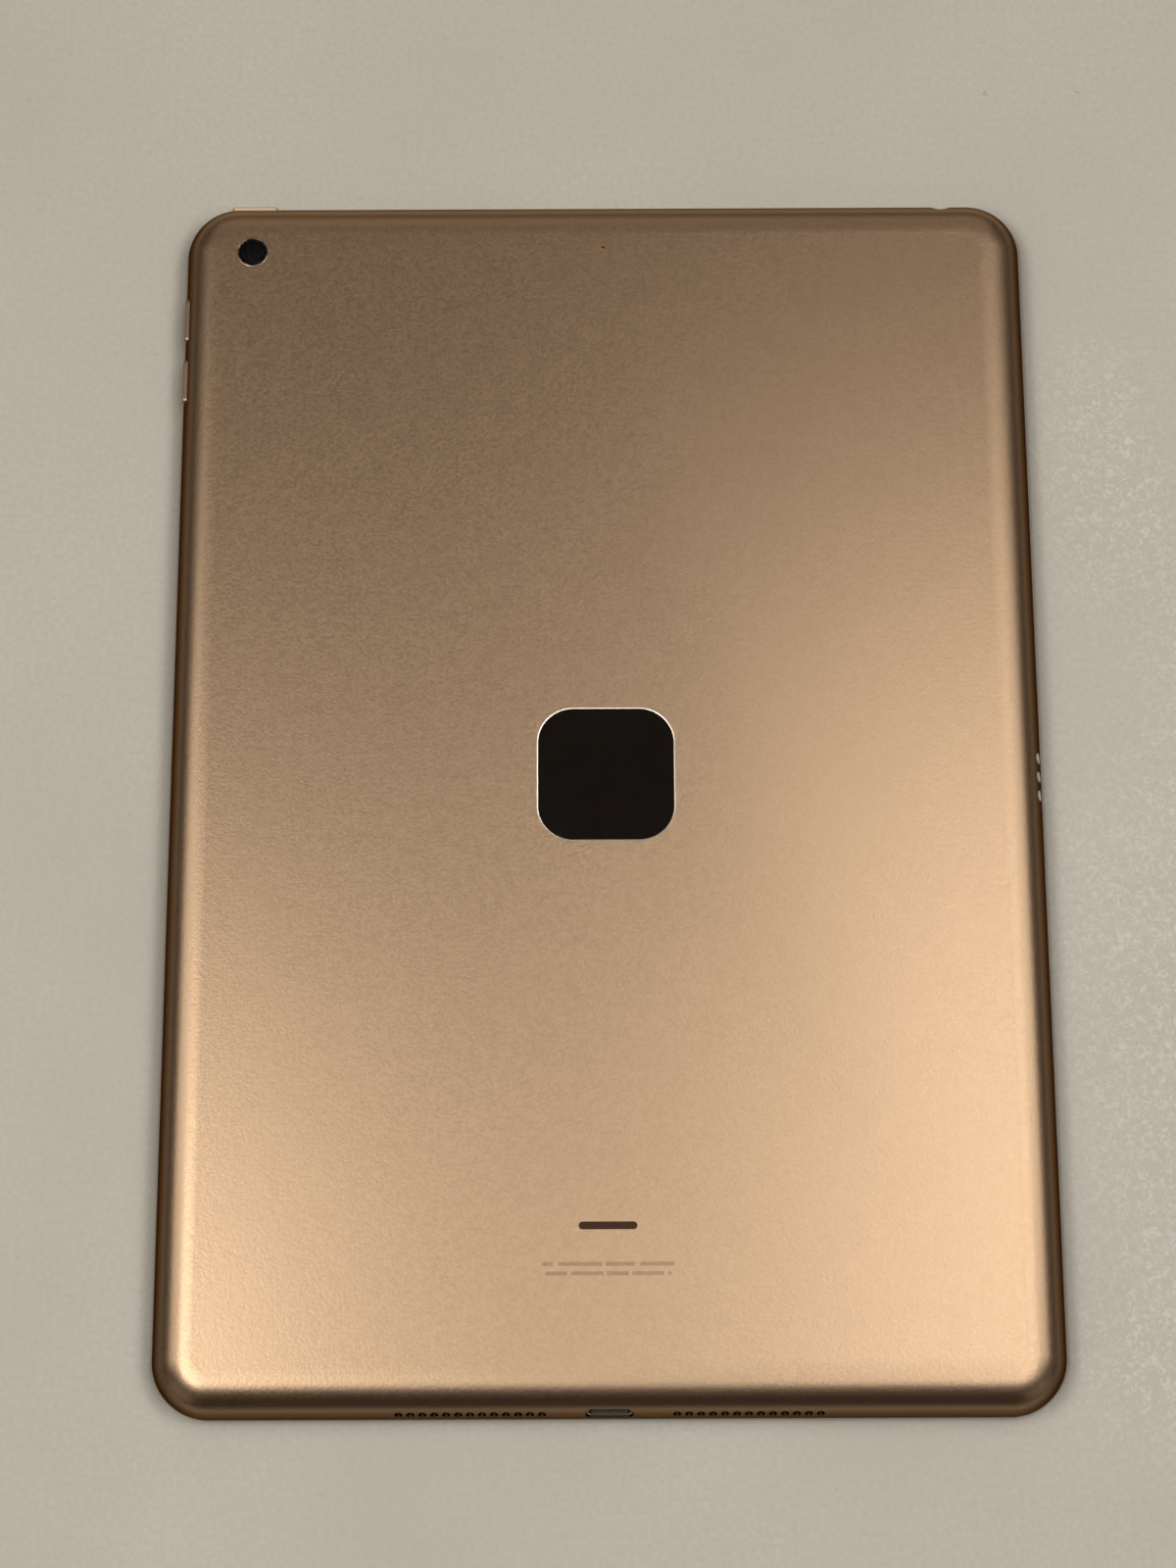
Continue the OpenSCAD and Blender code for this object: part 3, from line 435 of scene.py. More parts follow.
def black_screen():
    """The dark display as it looks switched off, with its fine grid of dots."""
    made = Surface("display_black", (0.006, 0.0065, 0.008), 0.22, 0.0, Coat_Weight=0.6)
    x, y, _ = made.axes()
    pitch = 0.096 * MM
    rows = made.math("SINE", made.math("MULTIPLY", x, 2 * math.pi / pitch))
    columns = made.math("SINE", made.math("MULTIPLY", y, 2 * math.pi / pitch))
    dots = made.math("MULTIPLY", rows, columns)
    made.set_color(made.blend(made.spread(dots, 0, 1, -1, 1), (0.004, 0.0045, 0.006),
                              (0.009, 0.010, 0.012)))
    made.set_roughness(made.spread(made.noise(6.0), 0.205, 0.235))
    made.bump(made.noise(0.4), 0.002)
    return made


def camera_glass():
    """Smoked glass over the rear camera, with faint smudges in its gloss."""
    made = Surface("camera_glass", (0.42, 0.43, 0.44), 0.0, Transmission_Weight=1.0, IOR=1.5)
    made.set_roughness(made.spread(made.noise(18.0, 4.0), 0.0, 0.035))
    made.set_color(made.tinted(made.noise(25.0), 0.01))
    made.bump(made.noise(3.0), 0.0006)
    return made


def bonded_glass():
    """Cover glass bonded to the border and screen behind it, which take most of the light."""
    made = Surface("cover_glass", (0.03, 0.032, 0.032), 0.03, Alpha=0.05, Specular_IOR_Level=1.0)
    made.set_color(made.tinted(made.noise(25.0), 0.1))
    made.set_roughness(made.spread(made.noise(18.0, 4.0), 0.01, 0.05))
    made.bump(made.noise(6.0), 0.0003)
    return made


def gloss_inlay():
    """The mirror-smooth dark inlay, with faint handling marks."""
    made = Surface("inlay_gloss", (0.012, 0.009, 0.007), 0.1, 0.0, Specular_IOR_Level=0.35)
    made.set_color(made.tinted(made.noise(5.0), 0.12))
    made.set_roughness(made.spread(made.noise(7.0, 4.0), 0.06, 0.14))
    made.bump(made.noise(1.2), 0.0006)
    return made


def battery_pouch():
    """Black wrap with a slightly quilted foil under it."""
    made = Surface("battery_pouch", (0.018, 0.018, 0.02), 0.42)
    made.set_color(made.tinted(made.noise(6.0), 0.18))
    made.set_roughness(made.spread(made.noise(1.0), 0.34, 0.5))
    made.bump(made.noise(4.0, 2.0), 0.05)
    made.bump(made.noise(0.25), 0.004)
    return made


SURFACES = {
    "anodised_aluminium": anodised_aluminium(),
    "button_metal": button_metal(),
    "trim_metal": brushed("trim_metal", (0.86, 0.67, 0.5), 0.2, (1, 1, 3)),
    "inlay_gloss": gloss_inlay(),
    "camera_glass": camera_glass(),
    "cover_glass": bonded_glass(),
    "lens_black": grained("lens_black", (0.035, 0.036, 0.037), 0.3, 0, 0.2, 0.002, Coat_Weight=0.5),
    "border_white": grained("border_white", (0.84, 0.83, 0.81), 0.3, 0, 0.25, 0.001, 0.04, 0.01,
                            Coat_Weight=0.8),
    "home_cap": grained("home_cap", (0.84, 0.83, 0.81), 0.16, 0, 0.3, 0.001, 0.04, 0.01,
                        Coat_Weight=0.8),
    "display_black": black_screen(),
    "gasket_plastic": grained("gasket_plastic", (0.70, 0.68, 0.64), 0.5, 0, 0.2, 0.004),
    "port_plastic": rimmed_plastic(),
    "black_plastic": grained("black_plastic", (0.014, 0.014, 0.015), 0.5, 0, 0.2, 0.006),
    "white_plastic": grained("white_plastic", (0.72, 0.72, 0.70), 0.45, 0, 0.2, 0.004),
    "black_rubber": grained("black_rubber", (0.012, 0.012, 0.012), 0.8, 0, 0.15, 0.01),
    "steel": brushed("steel", (0.62, 0.62, 0.63), 0.34, (0.3, 3, 3)),
    "mesh_metal": woven_mesh(),
    "contact_metal": brushed("contact_metal", (0.66, 0.65, 0.63), 0.32, (1, 3, 3)),
    "contact_gold": brushed("contact_gold", (0.83, 0.58, 0.22), 0.26, (2, 0.5, 2)),
    "circuit_board": circuit_board(),
    "chip": grained("chip", (0.02, 0.02, 0.022), 0.42, 0, 0.12, 0.004),
    "battery_pouch": battery_pouch(),
    "diaphragm": grained("diaphragm", (0.18, 0.18, 0.19), 0.4, 0, 0.5, 0.01),
    "ribbon_cable": ribbon_cable(),
    "magnet": brushed("magnet", (0.55, 0.55, 0.57), 0.22, (1, 1, 3)),
}


def paint(piece, slot):
    """Gives a piece the one material of its slot."""
    piece.data.materials.clear()
    piece.data.materials.append(SURFACES[slot].material)


# ---------- mesh tools ----------

def outline(half_w, half_l, radius, steps):
    """Points round a rounded rectangle, anticlockwise."""
    points = []
    for quarter, (sx, sy) in enumerate(((1, 1), (-1, 1), (-1, -1), (1, -1))):
        for i in range(steps + 1):
            angle = (quarter + i / steps) * math.pi / 2
            points.append((
                sx * (half_w - radius) + radius * math.cos(angle),
                sy * (half_l - radius) + radius * math.sin(angle),
            ))
    return points


def loft(sections, steps=16, closed=False, place=Matrix()):
    """bmesh through rounded rectangles (half width, half length, radius, height) in millimetres,
    capped at both ends, or joined end to start if closed."""
    bm = bmesh.new()
    rings = [
        [bm.verts.new(place @ (Vector((x, y, z)) * MM)) for x, y in outline(w, l, r, steps)]
        for w, l, r, z in sections
    ]
    pairs = list(zip(rings, rings[1:]))
    if closed:
        pairs.append((rings[-1], rings[0]))
    else:
        bm.faces.new(list(reversed(rings[0])))
        bm.faces.new(rings[-1])
    for low, high in pairs:
        for i in range(len(low)):
            j = (i + 1) % len(low)
            bm.faces.new((low[i], low[j], high[j], high[i]))
    bmesh.ops.remove_doubles(bm, verts=bm.verts, dist=1e-8)
    bmesh.ops.recalc_face_normals(bm, faces=bm.faces)
    return bm


def arc(centre, radius, start, end, steps):
    """Points (inset, height) along an arc, with angles in degrees from the outward direction."""
    points = []
    for i in range(steps + 1):
        angle = math.radians(start + (end - start) * i / steps)
        points.append((centre[0] - radius * math.cos(angle), centre[1] + radius * math.sin(angle)))
    return points


def inset_sections(half_w, half_l, radius, profile):
    """Sections of a loft whose outline is inset by each profile point (inset, height)."""
    return [(half_w - i, half_l - i, max(radius - i, 0.01), z) for i, z in profile]


def round_bar(radius, low, high, bevel=0.0):
    """Profile of a cylinder, as sections with an optional small bevel at both ends."""
    if not bevel:
        return [(radius, radius, radius, low), (radius, radius, radius, high)]
    foot = [(bevel * (1 - math.sin(a)), low + bevel * (1 - math.cos(a))) for a in QUARTER]
    head = [(i, high + low - z) for i, z in reversed(foot)]
    return inset_sections(radius, radius, radius, foot + head)


QUARTER = [math.radians(a) for a in (0, 22.5, 45, 67.5, 90)]


def joined(parts):
    """One bmesh of several, which are used up."""
    whole = bmesh.new()
    for part in parts:
        mesh = bpy.data.meshes.new("part")
        part.to_mesh(mesh)
        part.free()
        whole.from_mesh(mesh)
        bpy.data.meshes.remove(mesh)
    return whole


def as_object(bm, name):
    """Object with the bmesh's shape, which is used up."""
    mesh = bpy.data.meshes.new(name)
    bm.to_mesh(mesh)
    bm.free()
    made = bpy.data.objects.new(name, mesh)
    bpy.context.scene.collection.objects.link(made)
    return made


def combine(target, tool, operation):
    """Boolean of the target object with a bmesh tool, applied to the target's mesh."""
    helper = as_object(tool, "boolean_tool")
    modifier = target.modifiers.new("boolean", "BOOLEAN")
    modifier.operation = operation
    modifier.solver = "EXACT"
    modifier.object = helper
    depsgraph = bpy.context.evaluated_depsgraph_get()
    result = bpy.data.meshes.new_from_object(target.evaluated_get(depsgraph))
    target.modifiers.remove(modifier)
    old = target.data
    target.data = result
    bpy.data.meshes.remove(old)
    bpy.data.objects.remove(helper)


def smooth(piece, degrees=30.0):
    """Shades a piece smoothly, apart from its edges that are sharper than the given angle."""
    piece.data.polygons.foreach_set("use_smooth", [True] * len(piece.data.polygons))
    piece.data.set_sharp_from_angle(angle=math.radians(degrees))


def flatten(piece):
    """Keeps the faces across Z flat, so that the round edges don't bend their shading."""
    for polygon in piece.data.polygons:
        if abs(polygon.normal.z) > 0.999:
            polygon.use_smooth = False


def weigh_normals(piece):
    """Lets the broad faces set the normals, so that small bevels catch the light cleanly."""
    modifier = piece.modifiers.new("weighted_normals", "WEIGHTED_NORMAL")
    modifier.keep_sharp = True


def take_place(piece, node):
    """Puts a piece in place of one CAD node, on its body and with its finish."""
    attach(piece, BODY_OF[node])
    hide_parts(node)
    paint(piece, SLOT_OF[node])


def stand_in(bm, node, degrees=30.0, weighted=True):
    """Makes a detailed piece from a bmesh and puts it in place of one CAD node."""
    piece = as_object(bm, node + "_detail")
    smooth(piece, degrees)
    if weighted:
        weigh_normals(piece)
    take_place(piece, node)


def middle(node):
    """Middle of a CAD node's box, in millimetres."""
    low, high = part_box(node)
    return (low + high) / 2 / MM


def size(node):
    """Size of a CAD node's box, in millimetres."""
    low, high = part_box(node)
    return (high - low) / MM


# ---------- the casing ----------

# Sizes in millimetres that the CAD boxes don't give, as in the part's design
HOUSING_LOW, HOUSING_HIGH = (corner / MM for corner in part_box("rear_housing"))
HALF_W = HOUSING_HIGH.x
HALF_L = -HOUSING_LOW.y
TOP = HOUSING_HIGH.z
LIP_Z = HOUSING_LOW.z
CORNER_R = 11.0
EDGE_R = 6.5
ROUND_Z = TOP - EDGE_R
LIP_CHAMFER = 0.35
LIP_W = 1.15
LEDGE_Z = 1.15
SIDE_WALL = 3.6
INNER_Z = TOP - 1.05
CAVITY_R = 2.0
# How gently the shading runs into the rounded edge, and how far before it that starts
EASE = 1.1
EASE_REACH = 1.8
SOCKET_Z = middle("headphone_jack").z
BUTTON_Z = middle("power_button").z
SPEAKER_HOLES = 13
SPEAKER_START = 12.76
SPEAKER_PITCH = 2.257
SPEAKER_HOLE_R = 0.78
CONTACT_PITCH = 3.87
CONTACT_R = 1.1
CONTACT_HOLE_R = 1.4
BUTTON_LEN = 9.9
BUTTON_TALL = 2.1
BUTTON_GAP = 0.15
FLANGE_DEPTH = 2.75
FLANGE_HALF = (6.0, 1.5)
FLANGE_T = 0.55
FLANGE_GAP = 0.3
PORT_W = 9.1
PORT_TALL = 2.8
JACK_MOUTH_R = 2.0
MIC_HOLE_R = 0.4
INLAY_R = 7.0
INLAY_DEPTH = 0.35
INLAY_BEVEL = 0.22
SLIP = 0.05

# Matrices that turn a loft's height into a direction out of the casing
OUT_OF_TOP = Matrix(((1, 0, 0, 0), (0, 0, 1, 0), (0, -1, 0, 0), (0, 0, 0, 1)))
OUT_OF_BOTTOM = Matrix(((1, 0, 0, 0), (0, 0, -1, 0), (0, 1, 0, 0), (0, 0, 0, 1)))
OUT_OF_RIGHT = Matrix(((0, 0, 1, 0), (1, 0, 0, 0), (0, 1, 0, 0), (0, 0, 0, 1)))
OUT_OF_LEFT = Matrix(((0, 0, -1, 0), (-1, 0, 0, 0), (0, 1, 0, 0), (0, 0, 0, 1)))


def at(x, y, z, turn=Matrix()):
    """Turn about the origin followed by a move, in millimetres."""
    return Matrix.Translation(Vector((x, y, z)) * MM) @ turn


def casing_profile():
    """Section through the casing's wall as (inset, height), from the back round to the inside."""
    outside = [(EDGE_R + EASE_REACH, TOP)] + arc((EDGE_R, ROUND_Z), EDGE_R, 90, 0, 24)
    lip = [
        (0, LIP_Z + LIP_CHAMFER), (LIP_CHAMFER, LIP_Z), (LIP_W, LIP_Z), (LIP_W, LEDGE_Z),
        (SIDE_WALL, LEDGE_Z),
    ]
    inside = arc((SIDE_WALL + CAVITY_R, INNER_Z - CAVITY_R), CAVITY_R, 0, 90, 8)
    return outside + lip + inside


def button_cutters(place):
    """Slot and flange pocket of an edge button, with the outline's plane at height 0."""
    half_l, half_t = BUTTON_LEN / 2 + BUTTON_GAP, BUTTON_TALL / 2 + BUTTON_GAP
    low = -FLANGE_DEPTH - SLIP
    slot = loft([(half_l, half_t, half_t, low), (half_l, half_t, half_t, 1)], 12, place=place)
    flange_l, flange_t = (half + FLANGE_GAP for half in FLANGE_HALF)
    pocket = loft([(flange_l, flange_t, 0.3, -5.2), (flange_l, flange_t, 0.3, -FLANGE_DEPTH)], 4,
                  place=place)
    return [slot, pocket]


def casing_cutters():
    """Everything that is cut out of the casing's shell, as one bmesh."""
    camera = middle("rear_camera_window")
    camera_r = size("rear_camera_ring").x / 2 + 0.01
    mic = middle("rear_microphone")
    pocket = size("back_inlay").x / 2 + SLIP
    mouth = pocket + INLAY_BEVEL
    port_w, port_t = PORT_W / 2, PORT_TALL / 2
    jack_x = middle("headphone_jack").x
    cutters = [
        loft(round_bar(camera_r, INNER_Z - 1, TOP + 1), 24, place=at(camera.x, camera.y, 0)),
        loft(round_bar(MIC_HOLE_R, INNER_Z - 1, TOP + 1), 8, place=at(mic.x, mic.y, 0)),
        loft([
            (pocket, pocket, INLAY_R, TOP - INLAY_DEPTH), (pocket, pocket, INLAY_R, TOP - SLIP),
            (mouth, mouth, INLAY_R + INLAY_BEVEL, TOP),
            (mouth, mouth, INLAY_R + INLAY_BEVEL, TOP + 1),
        ], 24),
        loft(round_bar(JACK_MOUTH_R, -5, 1), 16,
             place=at(jack_x, HALF_L, SOCKET_Z, OUT_OF_TOP)),
        loft([(port_w, port_t, port_t, -5), (port_w, port_t, port_t, 1)], 12,
             place=at(0, -HALF_L, SOCKET_Z, OUT_OF_BOTTOM)),
    ]
    cutters += button_cutters(at(middle("power_button").x, HALF_L, BUTTON_Z, OUT_OF_TOP))
    for node in ("volume_up_button", "volume_down_button"):
        cutters += button_cutters(at(-HALF_W, middle(node).y, BUTTON_Z, OUT_OF_LEFT))
    for side in (-1, 1):
        for i in range(SPEAKER_HOLES):
            x = side * (SPEAKER_START + i * SPEAKER_PITCH)
            cutters.append(loft(round_bar(SPEAKER_HOLE_R, -5, 1), 7,
                                place=at(x, -HALF_L, SOCKET_Z, OUT_OF_BOTTOM)))
    for i in (-1, 0, 1):
        cutters.append(loft(round_bar(CONTACT_HOLE_R, -5, 1), 12,
                            place=at(HALF_W, i * CONTACT_PITCH, SOCKET_Z, OUT_OF_RIGHT)))
    return joined(cutters)


def eased(out):
    """How far out a point counts as being on the round edge. It starts a little inside the flat
    back, so that the reflections run on into the edge without a break."""
    if out <= -EASE_REACH:
        return 0.0
    return min((out + math.hypot(out, EASE)) / 2, EDGE_R)


def skin_normal(point):
    """Outward direction of the casing's ideal outside at a point, in millimetres."""
    dx = abs(point.x) - (HALF_W - CORNER_R)
    dy = abs(point.y) - (HALF_L - CORNER_R)
    if dx > 0 and dy > 0:
        reach = math.hypot(dx, dy)
        along = (dx / reach, dy / reach)
    else:
        reach, along = (dx, (1, 0)) if dx > dy else (dy, (0, 1))
    flat = eased(reach - (CORNER_R - EDGE_R)) / EDGE_R
    if point.z <= ROUND_Z:
        flat = 1.0
    return Vector((
        math.copysign(along[0] * flat, point.x), math.copysign(along[1] * flat, point.y),
        math.sqrt(1 - flat ** 2),
    ))


SKIN_TOLERANCE = 0.02


def is_on_skin(point):
    """True if a point in millimetres lies on the casing's outside."""
    dx = abs(point.x) - (HALF_W - CORNER_R)
    dy = abs(point.y) - (HALF_L - CORNER_R)
    reach = math.hypot(dx, dy) if dx > 0 and dy > 0 else max(dx, dy)
    out = max(reach - (CORNER_R - EDGE_R), 0)
    up = point.z - ROUND_Z
    if up <= 0:
        return point.z > LIP_Z + LIP_CHAMFER - 0.01 and abs(out - EDGE_R) < SKIN_TOLERANCE
    return abs(math.hypot(out, up) - EDGE_R) < SKIN_TOLERANCE


def set_skin_normals(piece):
    """Gives the casing's outside the normals of its true round shape, whatever was cut in it, and
    marks the walls of the cuts, on which the finish paints shade, and the bevels of those in the
    back, which the finish paints as paler bare metal with a painted highlight."""
    mesh = piece.data
    normals = [(0, 0, 0)] * len(mesh.loops)
    mesh.attributes.new("bore", "FLOAT", "FACE")
    mesh.attributes.new("rim", "FLOAT", "FACE")
    bore, rim = mesh.attributes["bore"], mesh.attributes["rim"]
    for face in mesh.polygons:
        points = [mesh.vertices[v].co / MM for v in face.vertices]
        if not all(is_on_skin(p) for p in points):
            low = min(p.z for p in points)
            high = max(p.z for p in points)
            bore.data[face.index].value = low > LEDGE_Z + 0.05 and high < TOP - 0.04
            rim.data[face.index].value = low > TOP - 0.1
            continue
        centre = sum(points, Vector()) / len(points)
        if face.normal.dot(skin_normal(centre)) < 0.9:
            continue
        for loop, point in zip(face.loop_indices, points):
            normals[loop] = skin_normal(point)[:]
    mesh.normals_split_custom_set(normals)


def make_housing():
    """The casing's shell with everything cut out of it."""
    casing = as_object(
        loft(inset_sections(HALF_W, HALF_L, CORNER_R, casing_profile()), 24),
        "rear_housing_detail",
    )
    combine(casing, casing_cutters(), "DIFFERENCE")
    smooth(casing)
    set_skin_normals(casing)
    take_place(casing, "rear_housing")


def make_inlay():
    half = size("back_inlay").x / 2
    low, high = TOP - INLAY_DEPTH, TOP - SLIP
    profile = [(0, low), (0, high - 0.06), (0.02, high - 0.02), (0.06, high)]
    stand_in(loft(inset_sections(half, half, INLAY_R - SLIP, profile), 24), "back_inlay")


# ---------- edge buttons ----------

def edge_button(node, place):
    """Cap with round ends, a crowned face and a flange inside the wall."""
    half_l, half_t = BUTTON_LEN / 2, BUTTON_TALL / 2
    flange_l, flange_t = FLANGE_HALF
    crown_r = 4.0
    crown_rim = 0.15
    sections = [
        (flange_l, flange_t, 0.3, -FLANGE_DEPTH - FLANGE_T),
        (flange_l, flange_t, 0.3, -FLANGE_DEPTH), (half_l, half_t, half_t, -FLANGE_DEPTH),
        (half_l, half_t, half_t, -0.42),
    ]
    for inset in (0.0, 0.03, 0.08, crown_rim, 0.3, 0.5, 0.75, 1.0):
        reach = half_t - inset
        drop = crown_r - math.sqrt(crown_r ** 2 - reach ** 2)
        soften = 0.16 * max(0.0, 1 - inset / crown_rim) ** 2
        sections.append((half_l - inset, reach, reach, -drop - soften))
    stand_in(loft(sections, 12, place=place), node, degrees=50)


def make_buttons():
    edge_button("power_button", at(middle("power_button").x, HALF_L, BUTTON_Z, OUT_OF_TOP))
    for node in ("volume_up_button", "volume_down_button"):
        edge_button(node, at(-HALF_W, middle(node).y, BUTTON_Z, OUT_OF_LEFT))


# ---------- rear camera ----------

def make_rear_camera():
    """The rear camera's window, the bevelled ring round it, and the stepped lens under it."""
    at_camera = at(middle("rear_camera_window").x, middle("rear_camera_window").y, 0)
    window_r = size("rear_camera_window").x / 2
    low, high = (corner.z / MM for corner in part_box("rear_camera_window"))
    stand_in(loft(round_bar(window_r, low, high, 0.08), 24, place=at_camera),
             "rear_camera_window")
    ring_r = size("rear_camera_ring").x / 2
    low, high = (corner.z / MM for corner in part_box("rear_camera_ring"))
    inner = window_r + 0.05
    section = [
        (inner, low), (ring_r, low), (ring_r, high - 0.04), (ring_r - 0.02, high - 0.01),
        (ring_r - 0.05, high), (inner + 0.19, high), (inner + 0.14, high - 0.03),
        (inner + 0.02, high - 0.12), (inner, high - 0.16),
    ]
    stand_in(loft([(r, r, r, z) for r, z in section], 24, closed=True, place=at_camera),
             "rear_camera_ring")
    lens_r = size("rear_camera_lens").x / 2
    low, high = (corner.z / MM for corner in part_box("rear_camera_lens"))
    steps = [
        (lens_r, low), (lens_r, high - 0.1), (lens_r - 0.1, high), (1.95, high),
        (1.9, high - 0.12), (1.6, high - 0.14), (1.55, high - 0.3), (1.3, high - 0.34),
    ]
    steps += [(1.2 * math.cos(a), high - 0.55 + 0.22 * math.sin(a)) for a in QUARTER[:-1]]
    stand_in(loft([(r, r, r, z) for r, z in steps], 24, place=at_camera), "rear_camera_lens")


# ---------- sockets ----------

def make_contacts():
    """Three round contacts whose faces follow the rounded edge."""
    steps = 32
    sink = 0.06
    turns = [2 * math.pi * k / steps for k in range(steps)]
    bm = bmesh.new()
    for i in (-1, 0, 1):
        rings = []
        # The back end, then the face as (part of the radius, how far it rises from its rim)
        for scale, rise in ((1, None), (1, 0.0), (0.94, 0.05), (0.6, sink), (0.02, sink)):
            ring = []
            for turn in turns:
                y = CONTACT_R * scale * math.cos(turn)
                z = SOCKET_Z + CONTACT_R * scale * math.sin(turn)
                reach = math.sqrt((EDGE_R - 0.1) ** 2 - (z - ROUND_Z) ** 2)
                x = HALF_W - SIDE_WALL - 1.5
                if rise is not None:
                    x = HALF_W - EDGE_R + reach + rise - sink
                ring.append(bm.verts.new(Vector((x, y + i * CONTACT_PITCH, z)) * MM))
            rings.append(ring)
        bm.faces.new(rings[0])
        bm.faces.new(rings[-1])
        for low, high in zip(rings, rings[1:]):
            for k in range(steps):
                j = (k + 1) % steps
                bm.faces.new((low[k], low[j], high[j], high[k]))
    bmesh.ops.recalc_face_normals(bm, faces=bm.faces)
    stand_in(bm, "accessory_contacts")


def make_port_bezel():
    """Frame of the charge port, whose face follows the rounded edge, with a bevelled opening."""
    round_y = HALF_L - EDGE_R
    outer = (PORT_W / 2 - SLIP, PORT_TALL / 2 - SLIP)
    opening = (4.0, 0.95)
    back = HALF_L - SIDE_WALL + 0.1

    def ring(bm, pill, inset, recess):
        """Points round a pill, on the rounded edge pushed in by recess, or flat at the back."""
        points = []
        half_w, half_t = pill[0] - inset, pill[1] - inset
        for x, up in outline(half_w, half_t, half_t, 12):
            z = SOCKET_Z + up
            out = back
            if recess is not None:
                out = round_y + math.sqrt((EDGE_R - recess) ** 2 - (z - ROUND_Z) ** 2)
            points.append(bm.verts.new(Vector((x, -out, z)) * MM))
        return points

    bm = bmesh.new()
    rings = [
        ring(bm, outer, 0, None), ring(bm, outer, 0, 0.38), ring(bm, outer, 0.06, 0.32),
        ring(bm, opening, -0.16, 0.32), ring(bm, opening, -0.02, 0.45), ring(bm, opening, 0, 0.5),
        ring(bm, opening, 0, None),
    ]
    bevel_row = 3
    rim = bm.faces.layers.float.new("rim")
    for row, (low, high) in enumerate(zip(rings, rings[1:] + rings[:1])):
        for k in range(len(low)):
            j = (k + 1) % len(low)
            face = bm.faces.new((low[k], low[j], high[j], high[k]))
            face[rim] = row == bevel_row
    bmesh.ops.remove_doubles(bm, verts=bm.verts, dist=1e-8)
    bmesh.ops.recalc_face_normals(bm, faces=bm.faces)
    stand_in(bm, "charge_port_bezel")


# ---------- the front ----------

GLASS_INSET = 1.6
BORDER_INSET = GLASS_INSET + 0.1
VIEW_W = 155.9
VIEW_L = 207.8
# Keeps the glass's back clear of the border's face, so that the two never share a place
GLASS_GAP = 0.02
HOME_Y = middle("home_button").y
HOME_HOLE_R = size("home_button_ring").x / 2 + 0.15
FRONT_CAMERA_Y = middle("front_camera").y


def make_glass():
    """Cover glass with a rounded front edge and a bevelled hole for the home button."""
    half_w, half_l = HALF_W - GLASS_INSET, HALF_L - GLASS_INSET
    radius = CORNER_R - GLASS_INSET
    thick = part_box("cover_glass")[1].z / MM - GLASS_GAP
    front = [(0.25 * (1 - math.sin(a)), 0.25 * (1 - math.cos(a))) for a in QUARTER]
    back = [(0, thick - 0.06), (0.06, thick)]
    glass = as_object(
        loft(inset_sections(half_w, half_l, radius, front + back), 24), "cover_glass_detail"
    )
    r = HOME_HOLE_R
    hole = loft([(r + 0.6, r + 0.6, r + 0.6, -0.5), (r + 0.1, r + 0.1, r + 0.1, 0), (r, r, r, 0.1),
                 (r, r, r, 2)], 24, place=at(0, HOME_Y, 0))
    combine(glass, hole, "DIFFERENCE")
    smooth(glass)
    flatten(glass)
    take_place(glass, "cover_glass")


def make_border():
    """Printed border behind the glass, open at the screen, home button and front camera."""
    low, high = (corner.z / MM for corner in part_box("glass_border"))
    profile = [(BORDER_INSET, low), (BORDER_INSET, high)]
    border = as_object(
        loft(inset_sections(HALF_W, HALF_L, CORNER_R, profile), 24), "glass_border_detail"
    )
    holes = [
        loft([(VIEW_W / 2, VIEW_L / 2, 0.3, -1), (VIEW_W / 2, VIEW_L / 2, 0.3, 3)], 4),
        loft(round_bar(HOME_HOLE_R + 0.15, -1, 3), 24, place=at(0, HOME_Y, 0)),
        loft(round_bar(1.6, -1, 3), 16, place=at(0, FRONT_CAMERA_Y, 0)),
    ]
    combine(border, joined(holes), "DIFFERENCE")
    smooth(border)
    flatten(border)
    take_place(border, "glass_border")


def make_gasket():
    """Thin seal between the glass and the casing's lip."""
    outer, inner = LIP_W + SLIP, GLASS_INSET - SLIP
    low, high = (corner.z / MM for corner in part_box("glass_gasket"))
    profile = [
        (outer, high), (outer, low + 0.05), (outer + 0.05, low), (inner - 0.05, low),
        (inner, low + 0.05), (inner, high),
    ]
    stand_in(loft(inset_sections(HALF_W, HALF_L, CORNER_R, profile), 24, closed=True),
             "glass_gasket")


def make_home_button():
    """The home button's dished cap and the metal ring round it."""
    at_home = at(0, HOME_Y, 0)
    cap_r = size("home_button").x / 2
    low, high = (corner.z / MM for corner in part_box("home_button"))
    dish = [(cap_r * s, low + 0.1 * (1 - s * s)) for s in (0.15, 0.3, 0.45, 0.6, 0.75, 0.88)]
    rim = [(cap_r - 0.08, low), (cap_r - 0.02, low + 0.02), (cap_r, low + 0.08), (cap_r, high)]
    stand_in(loft([(r, r, r, z) for r, z in dish + rim], 24, place=at_home), "home_button",
             weighted=False)
    ring_r = size("home_button_ring").x / 2
    low, high = (corner.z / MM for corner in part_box("home_button_ring"))
    inner = cap_r + 0.02
    section = [
        (inner, high), (inner, low + 0.1), (inner + 0.04, low + 0.04), (inner + 0.12, low),
        (ring_r - 0.08, low), (ring_r - 0.02, low + 0.03), (ring_r, low + 0.1), (ring_r, high),
    ]
    stand_in(loft([(r, r, r, z) for r, z in section], 24, closed=True, place=at_home),
             "home_button_ring")


